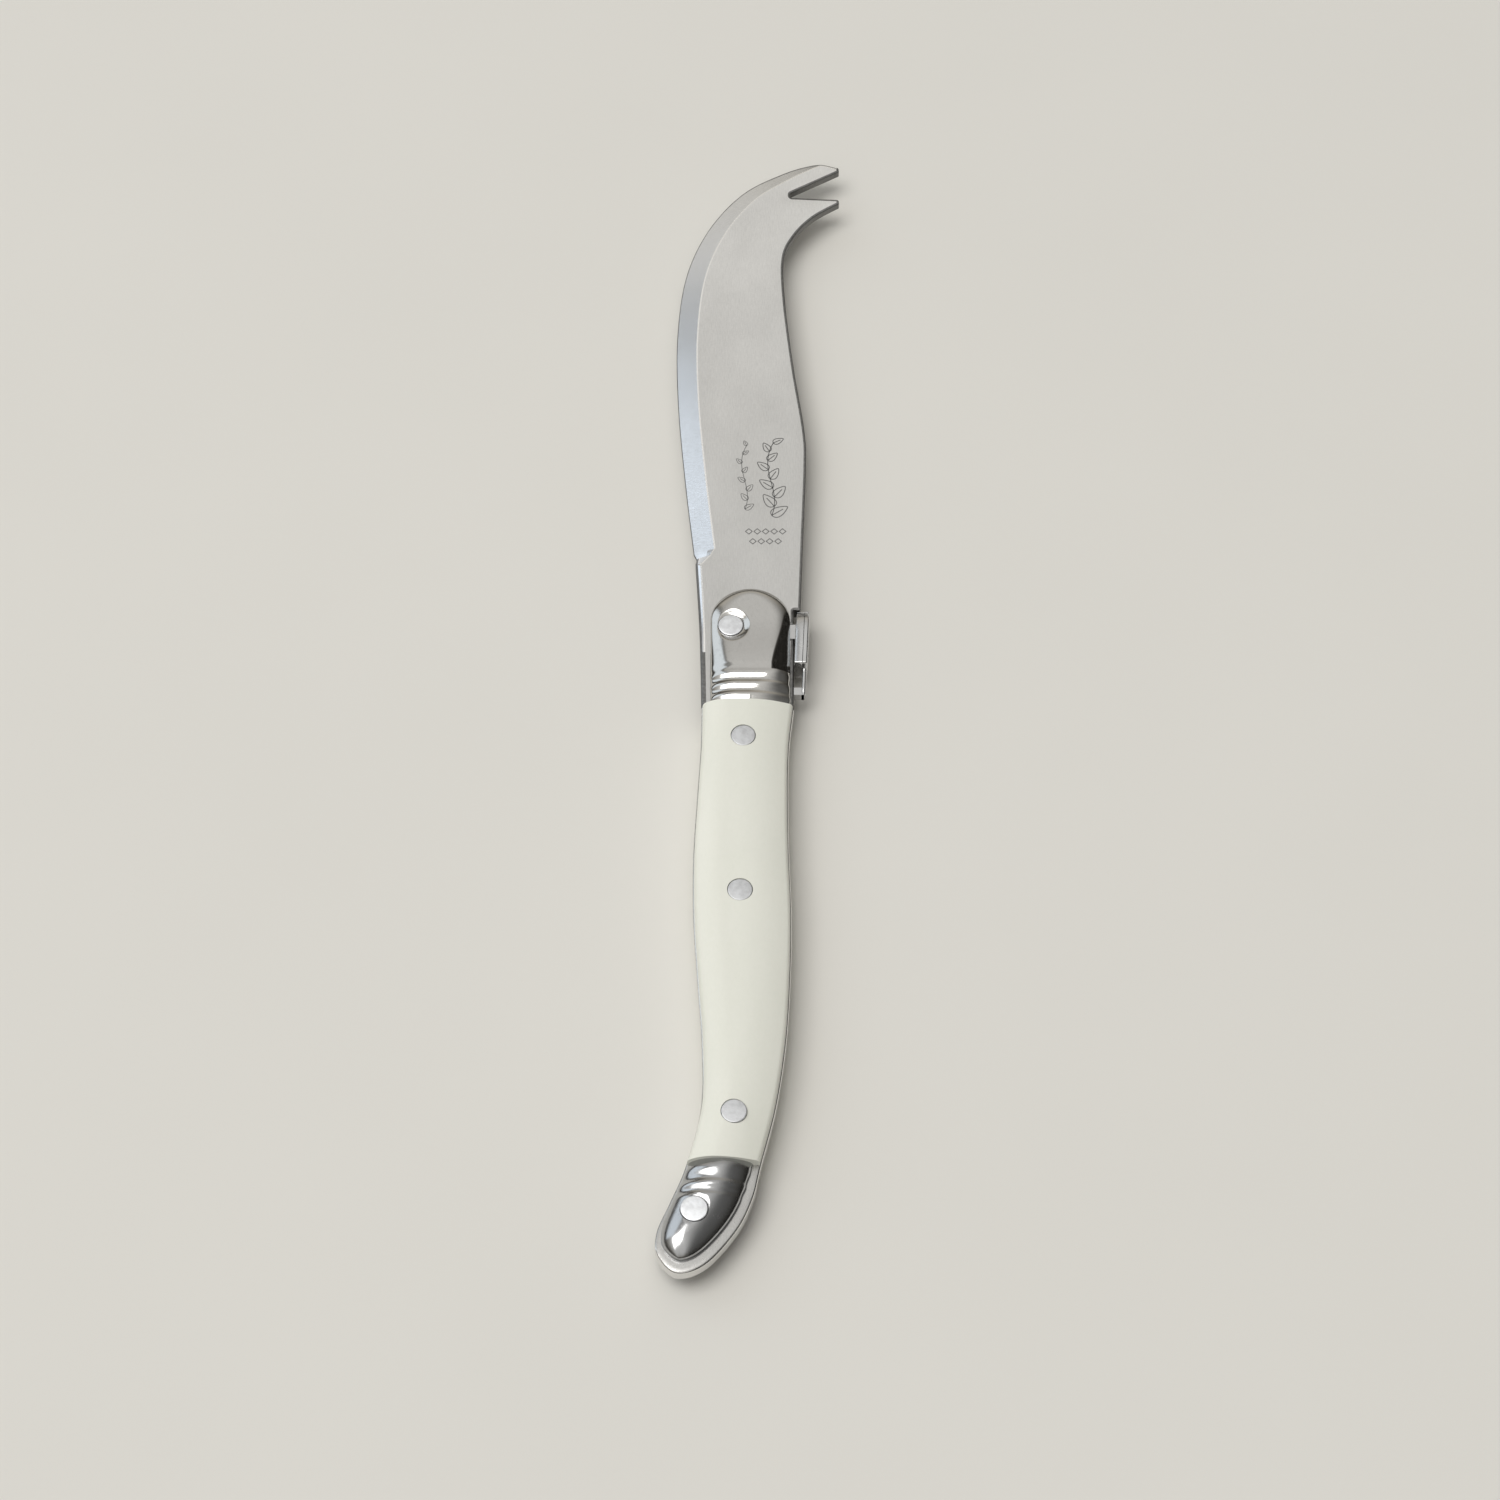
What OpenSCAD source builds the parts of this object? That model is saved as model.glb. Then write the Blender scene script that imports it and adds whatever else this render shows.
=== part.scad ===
// Fork-tipped cheese knife with a full tang, lying flat on its side.
// One stamping makes the blade and the tang. Bolsters and scales are
// laid on both faces of the tang and held by rivets right through.
// The cutting edge is on the -X side, the spine on the +X side, the tip
// at +Y. The underside rests at z = 0.

/* [Blade] */
// Length of the blade, from the nose of the front bolster to the tip
blade_l = 102; // [70:1:130]
// Width of the blade across its widest part
blade_w = 22.5; // [18:0.5:28]
// Thickness of the stamping that makes the blade and the tang
stock_t = 2.5; // [1.5:0.1:4]
// Width of the bevel ground along the cutting edge
bevel_w = 3.8; // [2:0.1:6]
// Thickness left at the cutting edge
edge_t = 0.4; // [0.2:0.1:1]
// Depth of the nick where the cutting edge ends
nick_depth = 0.7; // [0.3:0.1:1.5]
// Length of the nick's slanting side
nick_l = 0.6; // [0.3:0.1:1]

/* [Fork] */
// Length of the slot between the tines
slot_l = 9.3; // [5:0.1:14]
// Width of the slot at its round root
slot_root_w = 1.1; // [0.8:0.1:2]
// Width of each tine at its end
tine_end_w = 1; // [0.6:0.1:2]
// Rounding of the corners of the tines
tine_r = 0.35; // [0.1:0.05:0.5]

/* [Tang] */
// Width of the tang across its widest part
handle_w = 16.5; // [13:0.5:22]
// Length of the tang behind the scales
butt_l = 18.5; // [14:0.1:28]

/* [Scales] */
// Length of the scales
scale_l = 87.3; // [60:0.1:120]
// Thickness of each scale at the flat along its middle
scale_h = 3.4; // [2.5:0.1:5]
// Height of the upright wall along the sides of each scale
scale_wall_h = 1.2; // [0.6:0.1:2]
// Width of the flat along the middle of each scale
flat_w = 5.4; // [4.8:0.1:7]
// How far the tang stands out beyond the sides of the scales
scale_inset = 0.25; // [0:0.05:1]
// How far the flat lies from the middle of the handle, towards the edge
crown_shift = 1.1; // [0:0.1:1.4]

/* [Bolsters] */
// Length of the front bolster
front_l = 24.8; // [20:0.1:30]
// Tang left bare beside the front bolster, on the edge side
front_inset_edge = 1.5; // [0.5:0.1:2.5]
// Tang left bare beside the front bolster, on the spine side
front_inset_spine = 0.6; // [0.3:0.1:1.5]
// Thickness of the front bolster where its nose begins
front_nose_h = 2.7; // [2:0.1:4]
// Height of the upright wall along the sides of the bolsters
bolster_wall_h = 1.2; // [0.5:0.1:1.5]
// Width of each bead turned across the bolsters
bead_w = 2.25; // [1.5:0.05:3]
// Depth of the grooves between the beads
groove_d = 0.3; // [0.1:0.05:0.6]
// Slope of the relief on the spine side of the front bolster, in degrees
relief_slope = 42; // [35:1:55]
// Turn of the relief away from the handle's length, in degrees
relief_turn = 6.5; // [0:0.5:12]
// Height of the relief's outer edge above the tang, beside the beads
relief_low_h = 0.6; // [0.5:0.1:1.5]
// Width of the plain band at the front of the end bolster
end_band_w = 3.2; // [1.5:0.1:4]
// Tang left bare beside the end bolster at the seam, on the edge side
end_inset_edge = 0.4; // [0.2:0.1:1.5]
// Tang left bare beside the end bolster at the seam, on the spine side
end_inset_spine = 1.2; // [0.5:0.1:2]
// Tang left bare behind the end bolster
end_inset_butt = 2.2; // [1:0.1:3]
// Thickness of the end bolster at its dome
end_dome_h = 3.2; // [2.4:0.1:4]

/* [Rivets] */
// Diameter of the rivets through the scales
scale_rivet_d = 4.2; // [3:0.1:4.6]
// Diameter of the rivets through the bolsters
bolster_rivet_d = 4.4; // [3:0.1:5]
// Gap around each rivet in its bore
bore_gap = 0.02; // [0.01:0.01:0.08]
// Diameter of the dish around each bolster rivet
dish_d = 6.2; // [5.4:0.1:7]
// Depth of the dish below the face of the bolster
dish_depth = 0.45; // [0.2:0.05:0.8]
// Height of the bolster rivets above the bottom of the dish
rivet_proud = 0.25; // [0:0.05:0.5]
// Distance from the nose of the front bolster to its rivet
front_rivet_y = 8.6; // [6:0.2:12]
// Distance of the front bolster's rivet from its middle, towards the edge
front_rivet_x = 3.4; // [0:0.1:4]
// Distance from the front seam to the first scale rivet
first_rivet_y = 7.5; // [5:0.1:20]
// Distance from the front seam to the middle scale rivet
middle_rivet_y = 38.2; // [25:0.1:50]
// Distance from the rear seam to the last scale rivet
last_rivet_y = 8; // [5:0.2:20]
// Distance of the scale rivets from the middle of the tang, towards the edge
scale_rivet_x = 0.3; // [0:0.1:0.8]
// Distance from the rear seam to the end bolster's rivet
end_rivet_y = 8.9; // [8:0.1:12]
// Distance of the end bolster's rivet from its middle, towards the edge
end_rivet_x = 1.5; // [0:0.1:2]

/* [Spine ornament] */
// Length of the ornament
orn_l = 17.5; // [12:0.5:18.5]
// Thickness of the ornament at its head
orn_t = 2.4; // [1.5:0.1:3]
// Thickness of its tail
orn_tail_t = 0.9; // [0.6:0.1:1.4]
// Width of the ornament across its head
orn_head_w = 5.6; // [4:0.1:7]
// Width of the ornament at the end of its tail
orn_tail_w = 2.2; // [1.5:0.1:4]
// Gap between the ornament and the spine of the tang
orn_gap = 0.6; // [0.3:0.1:1]
// Length of the foot that seats the ornament in the tang
foot_l = 3; // [2:0.2:5]
// Depth of the foot in the tang
foot_depth = 1.2; // [0.6:0.1:2]
// Gap around the foot in its notch
foot_gap = 0.04; // [0.02:0.01:0.1]
// Depth of the recess in the spine that the ornament lies in
recess_depth = 1.3; // [0.6:0.1:2]
// Distance from the nose of the front bolster to the recess
recess_start = 3.6; // [2:0.1:6]
// Gap between the ornament's head and the end of the recess
recess_gap = 0.3; // [0.1:0.1:1]

/* [Hidden] */

$fn = 64;
cut = 1;        // how far a cutting body runs past what it cuts
round_n = 4;    // steps in each rounded corner
span_n = 5;     // steps between two control points of a curve

steel = [0.78, 0.78, 0.77];
polished = [0.72, 0.72, 0.73];
ivory = [0.89, 0.9, 0.83];
pin_grey = [0.8, 0.81, 0.82];

// Curves ---------------------------------------------------------------

// A point on the smooth curve through p, at share t of span i
function on_curve(p, i, t) =
    let (a = p[max(i - 1, 0)], b = p[i])
    let (c = p[i + 1], d = p[min(i + 2, len(p) - 1)])
    0.5 * (2*b + (c - a)*t + (2*a - 5*b + 4*c - d)*t*t + (3*b - a - 3*c + d)*t*t*t);

// The smooth curve through p
function curve(p) = concat(
    [for (i = [0:len(p) - 2], k = [0:span_n - 1]) on_curve(p, i, k/span_n)],
    [p[len(p) - 1]]);

function reversed(p) = [for (i = [len(p) - 1:-1:0]) p[i]];

function unit(v) = v/norm(v);

// Unit normal of the curve p at its point i, to the right of its run
function normal(p, i) =
    let (v = unit(p[min(i + 1, len(p) - 1)] - p[max(i - 1, 0)]))
    [v.y, -v.x];

// Points in place of corner b of the path a, b, c, rounded to radius r
function corner(a, b, c, r) =
    let (u = unit(a - b), v = unit(c - b))
    let (half = acos(u*v)/2)
    let (hub = b + unit(u + v)*r/sin(half))
    let (from = b + u*r/tan(half) - hub, to = b + v*r/tan(half) - hub)
    let (turn = 180 - 2*half, side = sign(cross(from, to)))
    [for (k = [0:round_n])
        let (g = side*turn*k/round_n)
        hub + [from.x*cos(g) - from.y*sin(g), from.x*sin(g) + from.y*cos(g)]];

// Outline -----------------------------------------------------------------
// The front seam, between the front bolster and the scales, is at y = 0.

rear_y = -scale_l;              // seam between the scales and the end bolster
recess_y = front_l - recess_start; // front end of the recess for the ornament

// Places on the blade and the butt from shares of their width and length
function blade_at(p) = [p.x*blade_w, front_l + p.y*blade_l];
function butt_at(p) = [p.x*handle_w, rear_y - p.y*butt_l];

// Cutting edge, from its heel to the end of the upper tine
edge_line = curve([for (p = [
    [-0.445, 0.09], [-0.52, 0.245], [-0.585, 0.42], [-0.6, 0.58], [-0.535, 0.725],
    [-0.355, 0.84], [-0.07, 0.93], [0.265, 0.98], [0.55, 1], [0.755, 0.99]
    ]) blade_at(p)]);

// Spine, from the end of the lower tine to the ricasso
spine_line = curve([for (p = [
    [0.755, 0.9], [0.535, 0.865], [0.375, 0.82], [0.285, 0.765], [0.29, 0.665],
    [0.355, 0.51], [0.44, 0.36], [0.45, 0.28], [0.42, 0.11]
    ]) blade_at(p)]);

// Stations along the scales: [share of length, edge side, spine side]
stations = [
    [0, -0.51, 0.46], [0.09, -0.515, 0.41], [0.2, -0.545, 0.395],
    [0.34, -0.58, 0.4], [0.475, -0.575, 0.42], [0.61, -0.53, 0.405],
    [0.745, -0.48, 0.36], [0.88, -0.48, 0.26], [1, -0.62, 0.11]
];
butt_end = [-0.7, 1];
butt_edge_side = [[-0.77, 0.35], [-0.89, 0.62], [-0.885, 0.83], butt_end];
butt_spine_side = [[0.03, 0.31], [-0.125, 0.61], [-0.42, 0.92], butt_end];

edge_side = concat(
    [for (s = stations) [s[1]*handle_w, -s[0]*scale_l]],
    [for (p = butt_edge_side) butt_at(p)]);
spine_side = concat(
    [for (s = stations) [s[2]*handle_w, -s[0]*scale_l]],
    [for (p = butt_spine_side) butt_at(p)]);

// The tang behind the front seam, down the edge side and up the spine side
around = curve(concat(edge_side, reversed([for (i = [0:len(spine_side) - 2]) spine_side[i]])));
butt_i = (len(edge_side) - 1)*span_n;
rear_i = (len(stations) - 1)*span_n;    // where the rear seam meets the sides
tang_edge = [for (i = [0:butt_i]) around[i]];
tang_spine = reversed([for (i = [butt_i:len(around) - 1]) around[i]]);
tang_edge_x = tang_edge[0].x;
tang_spine_x = tang_spine[0].x;

ricasso = blade_at([-0.43, 0.066]);
ricasso_line = curve([
    [tang_edge_x, 0], [-0.522*handle_w, front_l*0.37], [-0.54*handle_w, front_l*0.74], ricasso]);

// Corners of the fork
up_tip = edge_line[len(edge_line) - 1];
low_tip = spine_line[0];
tine_skew = 0.1;        // how far the ends of the tines stand off square
up_mouth = up_tip + [tine_skew, -tine_end_w];
low_mouth = low_tip + [-tine_skew, tine_end_w];
slot_lean = 0.15;       // share of the mouth's width between the root and the lower tine
slot_root = [up_tip.x - slot_l, low_mouth.y + slot_lean*(up_mouth.y - low_mouth.y)];
root_half = [0, slot_root_w/2];
root_r = slot_root_w*0.42;
fork = [
    edge_line[len(edge_line) - 2], up_tip, up_mouth, slot_root + root_half,
    slot_root - root_half, low_mouth, low_tip, spine_line[1]
];
fork_r = [0, tine_r, tine_r, root_r, root_r, tine_r, tine_r, 0];

outline = concat(
    [for (i = [0:len(edge_line) - 2]) edge_line[i]],
    [for (i = [1:len(fork) - 2], p = corner(fork[i - 1], fork[i], fork[i + 1], fork_r[i])) p],
    [for (i = [1:len(spine_line) - 1]) spine_line[i]],
    [[tang_spine_x + recess_depth, recess_y], [tang_spine_x, recess_y]],
    tang_spine,
    [for (i = [butt_i - 1:-1:0]) tang_edge[i]],
    [for (i = [1:len(ricasso_line) - 1]) ricasso_line[i]],
    [edge_line[0] + [nick_depth, -nick_l]]);

xs = [for (p = outline) p.x];
ys = [for (p = outline) p.y];
mid_z = scale_h + stock_t/2;    // middle of the stamping above the table
centre = [-(min(xs) + max(xs))/2, -(min(ys) + max(ys))/2, mid_z];

// Side of the tang at a distance y, from one of its two sides
function side_x(side, y) = lookup(-y, [for (p = side) [-p.y, p.x]]);

// Crowned bodies -------------------------------------------------------------

crown_n = 7;            // steps from the wall to the flat of a section
scale_power = 2.3;      // fullness of the shoulders, 2 is a parabola
bolster_power = 3.2;

// Section across the handle at y from x = l to r: upright walls, then
// shoulders that rise to h beside a flat of width f, and rise in its middle.
// The flat lies nearer to the edge side than to the spine side.
function section(y, l, r, wall, h, f, power, rise = 0) =
    let (w = (r - l)/2, g = min(f/2, w*0.7))
    let (m = (l + r)/2 - crown_shift*min(1, w/nose_r))
    let (arch = [for (k = [0:crown_n]) let (s = cos(90*k/crown_n))
        [s, wall + (h - wall)*(1 - pow(s, power))]])
    concat(
        [[l, y, 0]],
        [for (p = arch) [m - g - (m - g - l)*p.x, y, p.y]],
        [[m, y, h + rise]],
        [for (p = reversed(arch)) [m + g + (r - m - g)*p.x, y, p.y]],
        [[r, y, 0]]);

// Body through a row of sections, ordered towards -Y
module loft(rows) {
    n = len(rows[0]);
    last = (len(rows) - 1)*n;
    polyhedron(
        points = [for (row = rows, p = row) p],
        faces = concat(
            [for (i = [0:len(rows) - 2], j = [0:n - 1], half = [0, 1])
                let (k = (j + 1) % n, a = i*n, b = a + n)
                half == 0 ? [a + j, b + k, b + j] : [a + j, a + k, b + k]],
            [[for (j = [n - 1:-1:0]) j]],
            [[for (j = [0:n - 1]) last + j]]));
}

// Rivets ----------------------------------------------------------------------

// Middle of the tang at y
function middle_x(y) = (side_x(tang_edge, y) + side_x(tang_spine, y))/2;

nose_r = (tang_spine_x - front_inset_spine - tang_edge_x - front_inset_edge)/2;
front_mid_x = tang_edge_x + front_inset_edge + nose_r;
front_rivet_at = [front_mid_x - front_rivet_x, front_l - front_rivet_y];
function scale_rivet_at(y) = [middle_x(y) - scale_rivet_x, y];
first_rivet_at = scale_rivet_at(-first_rivet_y);
middle_rivet_at = scale_rivet_at(-middle_rivet_y);
last_rivet_at = scale_rivet_at(rear_y + last_rivet_y);
end_rivet_at = [middle_x(rear_y - end_rivet_y) - end_rivet_x, rear_y - end_rivet_y];

// Height of the dish's floor above the tang, on each bolster
front_dish_h = front_nose_h - dish_depth;
end_dish_h = end_dome_h - dish_depth;

module pin(at, d, h) {
    translate([at.x, at.y, -stock_t/2 - h]) cylinder(d = d, h = stock_t + 2*h);
}

module bore(at, d) {
    pin(at, d + 2*bore_gap, scale_h + cut);
}

dish_floor_w = 0.15;    // width of the dish's flat floor around the rivet

// Shallow dish with a flat floor, open upwards
module dish(at, floor_h) {
    spread = (dish_d - bolster_rivet_d)/2/dish_depth;
    rim_r = dish_d/2 + spread*cut;
    translate([at.x, at.y, floor_h])
        cylinder(r1 = bolster_rivet_d/2 + dish_floor_w, r2 = rim_r, h = dish_depth + cut);
}

// Blade --------------------------------------------------------------------------

bevel_fade = 5;         // how late the bevel fades out towards the upper tine
bevel_end = 0.4;        // share of the bevel's width that is left where it ends
bevel_over = 0.5;       // how far the cutting body runs past the bevel's inner line

// Cutting body of one bevel: three points at each step of the edge
module bevel_cutter() {
    n = len(edge_line) - 1;
    rows = [for (i = [0:n - 2])
        let (p = edge_line[i], v = normal(edge_line, i))
        let (fade = 1 - pow(i/n, bevel_fade))
        let (w = bevel_w*(bevel_end + (1 - bevel_end)*fade))
        let (deep = (stock_t - edge_t)/2*fade, slope = deep/w)
        let (inner = p + v*(w + bevel_over), outer = p - v*cut)
        [
            [inner.x, inner.y, stock_t/2 + slope*bevel_over],
            [outer.x, outer.y, stock_t/2 - deep - slope*cut],
            [outer.x, outer.y, stock_t/2 + cut]
        ]];
    loft(reversed(rows));
}

module blade() {
    color(steel) translate(centre) difference() {
        translate([0, 0, -stock_t/2]) linear_extrude(stock_t) polygon(outline);
        bevel_cutter();
        mirror([0, 0, 1]) bevel_cutter();
        for (at = [front_rivet_at, end_rivet_at]) bore(at, bolster_rivet_d);
        for (at = [first_rivet_at, middle_rivet_at, last_rivet_at]) bore(at, scale_rivet_d);
        foot_block(foot_gap, cut);
    }
}

// Scales ---------------------------------------------------------------------------

scale_rise = 0.3;       // crown of the raw scale, planed off down to its flat

module scale_half() {
    difference() {
        translate([0, 0, stock_t/2]) loft([for (i = [0:rear_i])
            section(tang_edge[i].y, tang_edge[i].x + scale_inset, tang_spine[i].x - scale_inset,
                scale_wall_h, scale_h, flat_w, scale_power, scale_rise)]);
        translate([-handle_w*2, rear_y - cut, stock_t/2 + scale_h])
            cube([handle_w*4, scale_l + 2*cut, cut]);
        for (at = [first_rivet_at, middle_rivet_at, last_rivet_at]) bore(at, scale_rivet_d);
    }
}

module scale_top() {
    color(ivory) translate(centre) scale_half();
}

module scale_bottom() {
    color(ivory) translate(centre) mirror([0, 0, 1]) scale_half();
}

// Bolsters ----------------------------------------------------------------------------

bead_steps = 6;
front_beads = 3;
nose_y = front_l - nose_r;      // where the round nose begins
dome_steps = 9;
dome_turn = 87;                 // the dome stops just short of a full quarter turn
front_l_x = front_mid_x - nose_r;
front_r_x = front_mid_x + nose_r;

// Height across a bead at share t of its width
function bead_h(t) = scale_h - groove_d*pow(abs(cos(180*t)), 3);

front_nose_power = 0.6;         // how full the round nose is
nose_flat = 0.4;                // flat of its sections, a share of their half width

// Height at an angle g round a nose: the wall, then a share of the crown
function nose_h(h, g, power) = bolster_wall_h + (h - bolster_wall_h)*pow(cos(g), power);

front_rows = concat(
    [for (k = [dome_steps:-1:0]) let (g = dome_turn*k/dome_steps, w = nose_r*cos(g))
        section(nose_y + nose_r*sin(g), front_mid_x - w, front_mid_x + w, bolster_wall_h,
            nose_h(front_nose_h, g, front_nose_power), w*nose_flat, bolster_power)],
    [for (b = [front_beads - 1:-1:0], k = [bead_steps:-1:b > 0 ? 1 : 0]) let (t = k/bead_steps)
        section((b + t)*bead_w, front_l_x, front_r_x, bolster_wall_h, bead_h(t), flat_w, bolster_power)]);

// Slanting flat along the spine side, from the nose to the beads
module relief_cutter() {
    translate([front_r_x, front_beads*bead_w, stock_t/2 + relief_low_h])
        rotate([0, 0, -relief_turn]) rotate([0, relief_slope, 0])
            translate([-nose_r, 0, 0]) cube([nose_r*2, front_l, nose_r]);
}

module front_bolster_half() {
    difference() {
        translate([0, 0, stock_t/2]) loft(front_rows);
        relief_cutter();
        dish(front_rivet_at, stock_t/2 + front_dish_h);
        bore(front_rivet_at, bolster_rivet_d);
    }
}

module front_bolster_top() {
    color(polished) translate(centre) front_bolster_half();
}

module front_bolster_bottom() {
    color(polished) translate(centre) mirror([0, 0, 1]) front_bolster_half();
}

// How late the bare border widens towards the butt, on either side
pull_edge = 2;
pull_spine = 0.6;

// The end bolster's plan, inside the tang's own line
end_line = [for (i = [rear_i:2*butt_i - rear_i])
    let (share = 1 - abs(i - butt_i)/(butt_i - rear_i))
    let (side = i < butt_i ? end_inset_edge : end_inset_spine)
    let (pull = pow(share, i < butt_i ? pull_edge : pull_spine))
    around[i] - normal(around, i)*(side + (end_inset_butt - side)*pull)];
end_n = butt_i - rear_i;
end_edge = [for (i = [0:end_n]) end_line[i]];
end_spine = [for (i = [2*end_n:-1:end_n]) end_line[i]];
dome_y = rear_y - end_band_w - bead_w;
dome_l = dome_y - end_line[end_n].y;

function end_section(y, h, f) =
    section(y, side_x(end_edge, y), side_x(end_spine, y), bolster_wall_h, h, f, bolster_power);

end_dome_power = 0.7;           // how full the dome is
dome_flat = 0.5;                // flat of its sections, a share of the band's

end_rows = concat(
    [for (k = [0:bead_steps]) let (t = k/bead_steps)
        end_section(rear_y - t*end_band_w, bead_h(t), flat_w)],
    [for (k = [1:bead_steps]) let (t = k/bead_steps)
        end_section(rear_y - end_band_w - t*bead_w, bead_h(t), flat_w)],
    [for (k = [1:dome_steps]) let (g = dome_turn*k/dome_steps)
        end_section(dome_y - dome_l*sin(g), nose_h(end_dome_h, g, end_dome_power), flat_w*cos(g)*dome_flat)]);

module end_bolster_half() {
    difference() {
        translate([0, 0, stock_t/2]) loft(end_rows);
        dish(end_rivet_at, stock_t/2 + end_dish_h);
        bore(end_rivet_at, bolster_rivet_d);
    }
}

module end_bolster_top() {
    color(polished) translate(centre) end_bolster_half();
}

module end_bolster_bottom() {
    color(polished) translate(centre) mirror([0, 0, 1]) end_bolster_half();
}

// Rivets ----------------------------------------------------------------------------------

module front_bolster_rivet() {
    color(pin_grey) translate(centre) pin(front_rivet_at, bolster_rivet_d, front_dish_h + rivet_proud);
}

module scale_rivet_front() {
    color(pin_grey) translate(centre) pin(first_rivet_at, scale_rivet_d, scale_h);
}

module scale_rivet_middle() {
    color(pin_grey) translate(centre) pin(middle_rivet_at, scale_rivet_d, scale_h);
}

module scale_rivet_rear() {
    color(pin_grey) translate(centre) pin(last_rivet_at, scale_rivet_d, scale_h);
}

module end_bolster_rivet() {
    color(pin_grey) translate(centre) pin(end_rivet_at, bolster_rivet_d, end_dish_h + rivet_proud);
}

// Spine ornament -----------------------------------------------------------------------------
// A plain fluted shield with a narrow tail, seated by a foot in the tang.

shield_share = 0.67;                            // share of the ornament that is its shield
shield_step = 0.4;                              // length of the step down to the tail
tail_l = orn_l*(1 - shield_share) - shield_step;    // length of the tail past that step
// Sides of the shield: shares of the ornament's length and of half the shield's width
shield_sides = [[0, 0.35], [0.15, 0.92], [0.28, 1], [shield_share, 0.9]];
tail_flare = 1.3;                               // how much wider the tail starts
flute_r = 0.7;
flute_depth = 0.3;
flute_spread = orn_head_w*0.22;                 // distance of each flute from the middle
orn_x = tang_spine_x + orn_gap;                 // inner face of the ornament
orn_y = recess_y - recess_gap;                  // front end of the ornament
foot_y = orn_y - orn_l/4;                       // middle of the foot
pad_l = 1.5;                                    // length of the pad under the tail

foot_short = 0.2;                               // how much shorter the foot is than the stock

// The foot, and with a gap and a longer reach the notch that takes it
module foot_block(gap, reach) {
    long = foot_l + 2*gap;
    deep = foot_depth + gap;
    tall = stock_t - foot_short + 2*reach;
    translate([tang_spine_x - deep, foot_y - long/2, -tall/2])
        cube([deep + orn_gap + orn_t/2, long, tall]);
}

// Outline seen from the spine: its length along X, its width along Y
module shield() {
    head = orn_head_w/2;
    tail = orn_tail_w/2;
    half = concat(
        [for (p = shield_sides) [p.x*orn_l, p.y*head]],
        [[shield_share*orn_l + shield_step, tail*tail_flare], [orn_l, tail]]);
    polygon(concat(half, [for (p = reversed(half)) [p.x, -p.y]]));
}

module spine_ornament() {
    color(polished) translate(centre) {
        difference() {
            translate([orn_x + orn_t, orn_y, 0]) rotate([90, 0, -90])
                linear_extrude(orn_t) shield();
            translate([orn_x - cut, orn_y - orn_l - cut, -orn_head_w])
                cube([orn_t - orn_tail_t + cut, tail_l + cut, 2*orn_head_w]);
            for (side = [-1, 1])
                translate([orn_x + orn_t + flute_r - flute_depth, orn_y + cut, side*flute_spread])
                    rotate([90, 0, 0]) cylinder(r = flute_r, h = orn_l*shield_share);
        }
        foot_block(0, 0);
        translate([tang_spine_x, orn_y - orn_l, -orn_tail_w/2])
            cube([orn_gap + orn_t - orn_tail_t/2, pad_l, orn_tail_w]);
    }
}

blade();
front_bolster_top();
front_bolster_bottom();
scale_top();
scale_bottom();
end_bolster_top();
end_bolster_bottom();
front_bolster_rivet();
scale_rivet_front();
scale_rivet_middle();
scale_rivet_rear();
end_bolster_rivet();
spine_ornament();
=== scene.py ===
import math

import bmesh
import bpy
import numpy as np
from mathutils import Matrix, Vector
from mathutils.geometry import delaunay_2d_cdt


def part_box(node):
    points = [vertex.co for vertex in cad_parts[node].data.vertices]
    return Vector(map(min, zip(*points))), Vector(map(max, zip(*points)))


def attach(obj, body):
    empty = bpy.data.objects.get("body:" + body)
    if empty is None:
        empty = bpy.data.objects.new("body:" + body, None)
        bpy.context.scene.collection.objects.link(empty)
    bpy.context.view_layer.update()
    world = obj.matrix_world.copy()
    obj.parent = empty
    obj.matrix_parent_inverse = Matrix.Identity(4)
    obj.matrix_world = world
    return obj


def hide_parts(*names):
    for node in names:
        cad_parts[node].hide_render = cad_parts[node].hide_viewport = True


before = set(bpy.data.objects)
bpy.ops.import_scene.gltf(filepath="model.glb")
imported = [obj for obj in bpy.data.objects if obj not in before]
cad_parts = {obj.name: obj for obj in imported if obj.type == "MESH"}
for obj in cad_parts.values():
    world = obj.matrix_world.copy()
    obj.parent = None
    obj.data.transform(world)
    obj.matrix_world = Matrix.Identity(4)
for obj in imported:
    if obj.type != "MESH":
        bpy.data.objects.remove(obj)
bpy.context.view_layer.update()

# A fork-tipped cheese knife lying flat on its side: the looks around the
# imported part. Lengths are worked out in millimetres in the row frame and
# become metres when a mesh is made.

MM = 0.001


# Sizes taken from the frame -------------------------------------------------


def box_mm(node):
    """Lowest and highest corner of a CAD node, in millimetres."""
    low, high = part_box(node)
    return np.array(low) / MM, np.array(high) / MM


blade_low, blade_high = box_mm("blade")
front_low, front_high = box_mm("front_bolster_top")
scale_low, scale_high = box_mm("scale_top")
ornament_low, ornament_high = box_mm("spine_ornament")

seam_y = scale_high[1]                          # between the front bolster and the scales
rear_y = scale_low[1]                           # between the scales and the end bolster
face_z = blade_high[2]                          # upper face of the tang
mid_z = (blade_low[2] + blade_high[2]) / 2
stock_t = blade_high[2] - blade_low[2]
scale_h = scale_high[2] - face_z
front_l = front_high[1] - seam_y
blade_l = blade_high[1] - seam_y - front_l
scale_l = seam_y - rear_y
butt_l = rear_y - blade_low[1]
nose_r = (front_high[0] - front_low[0]) / 2
nose_x = (front_high[0] + front_low[0]) / 2     # middle of the front bolster

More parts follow.
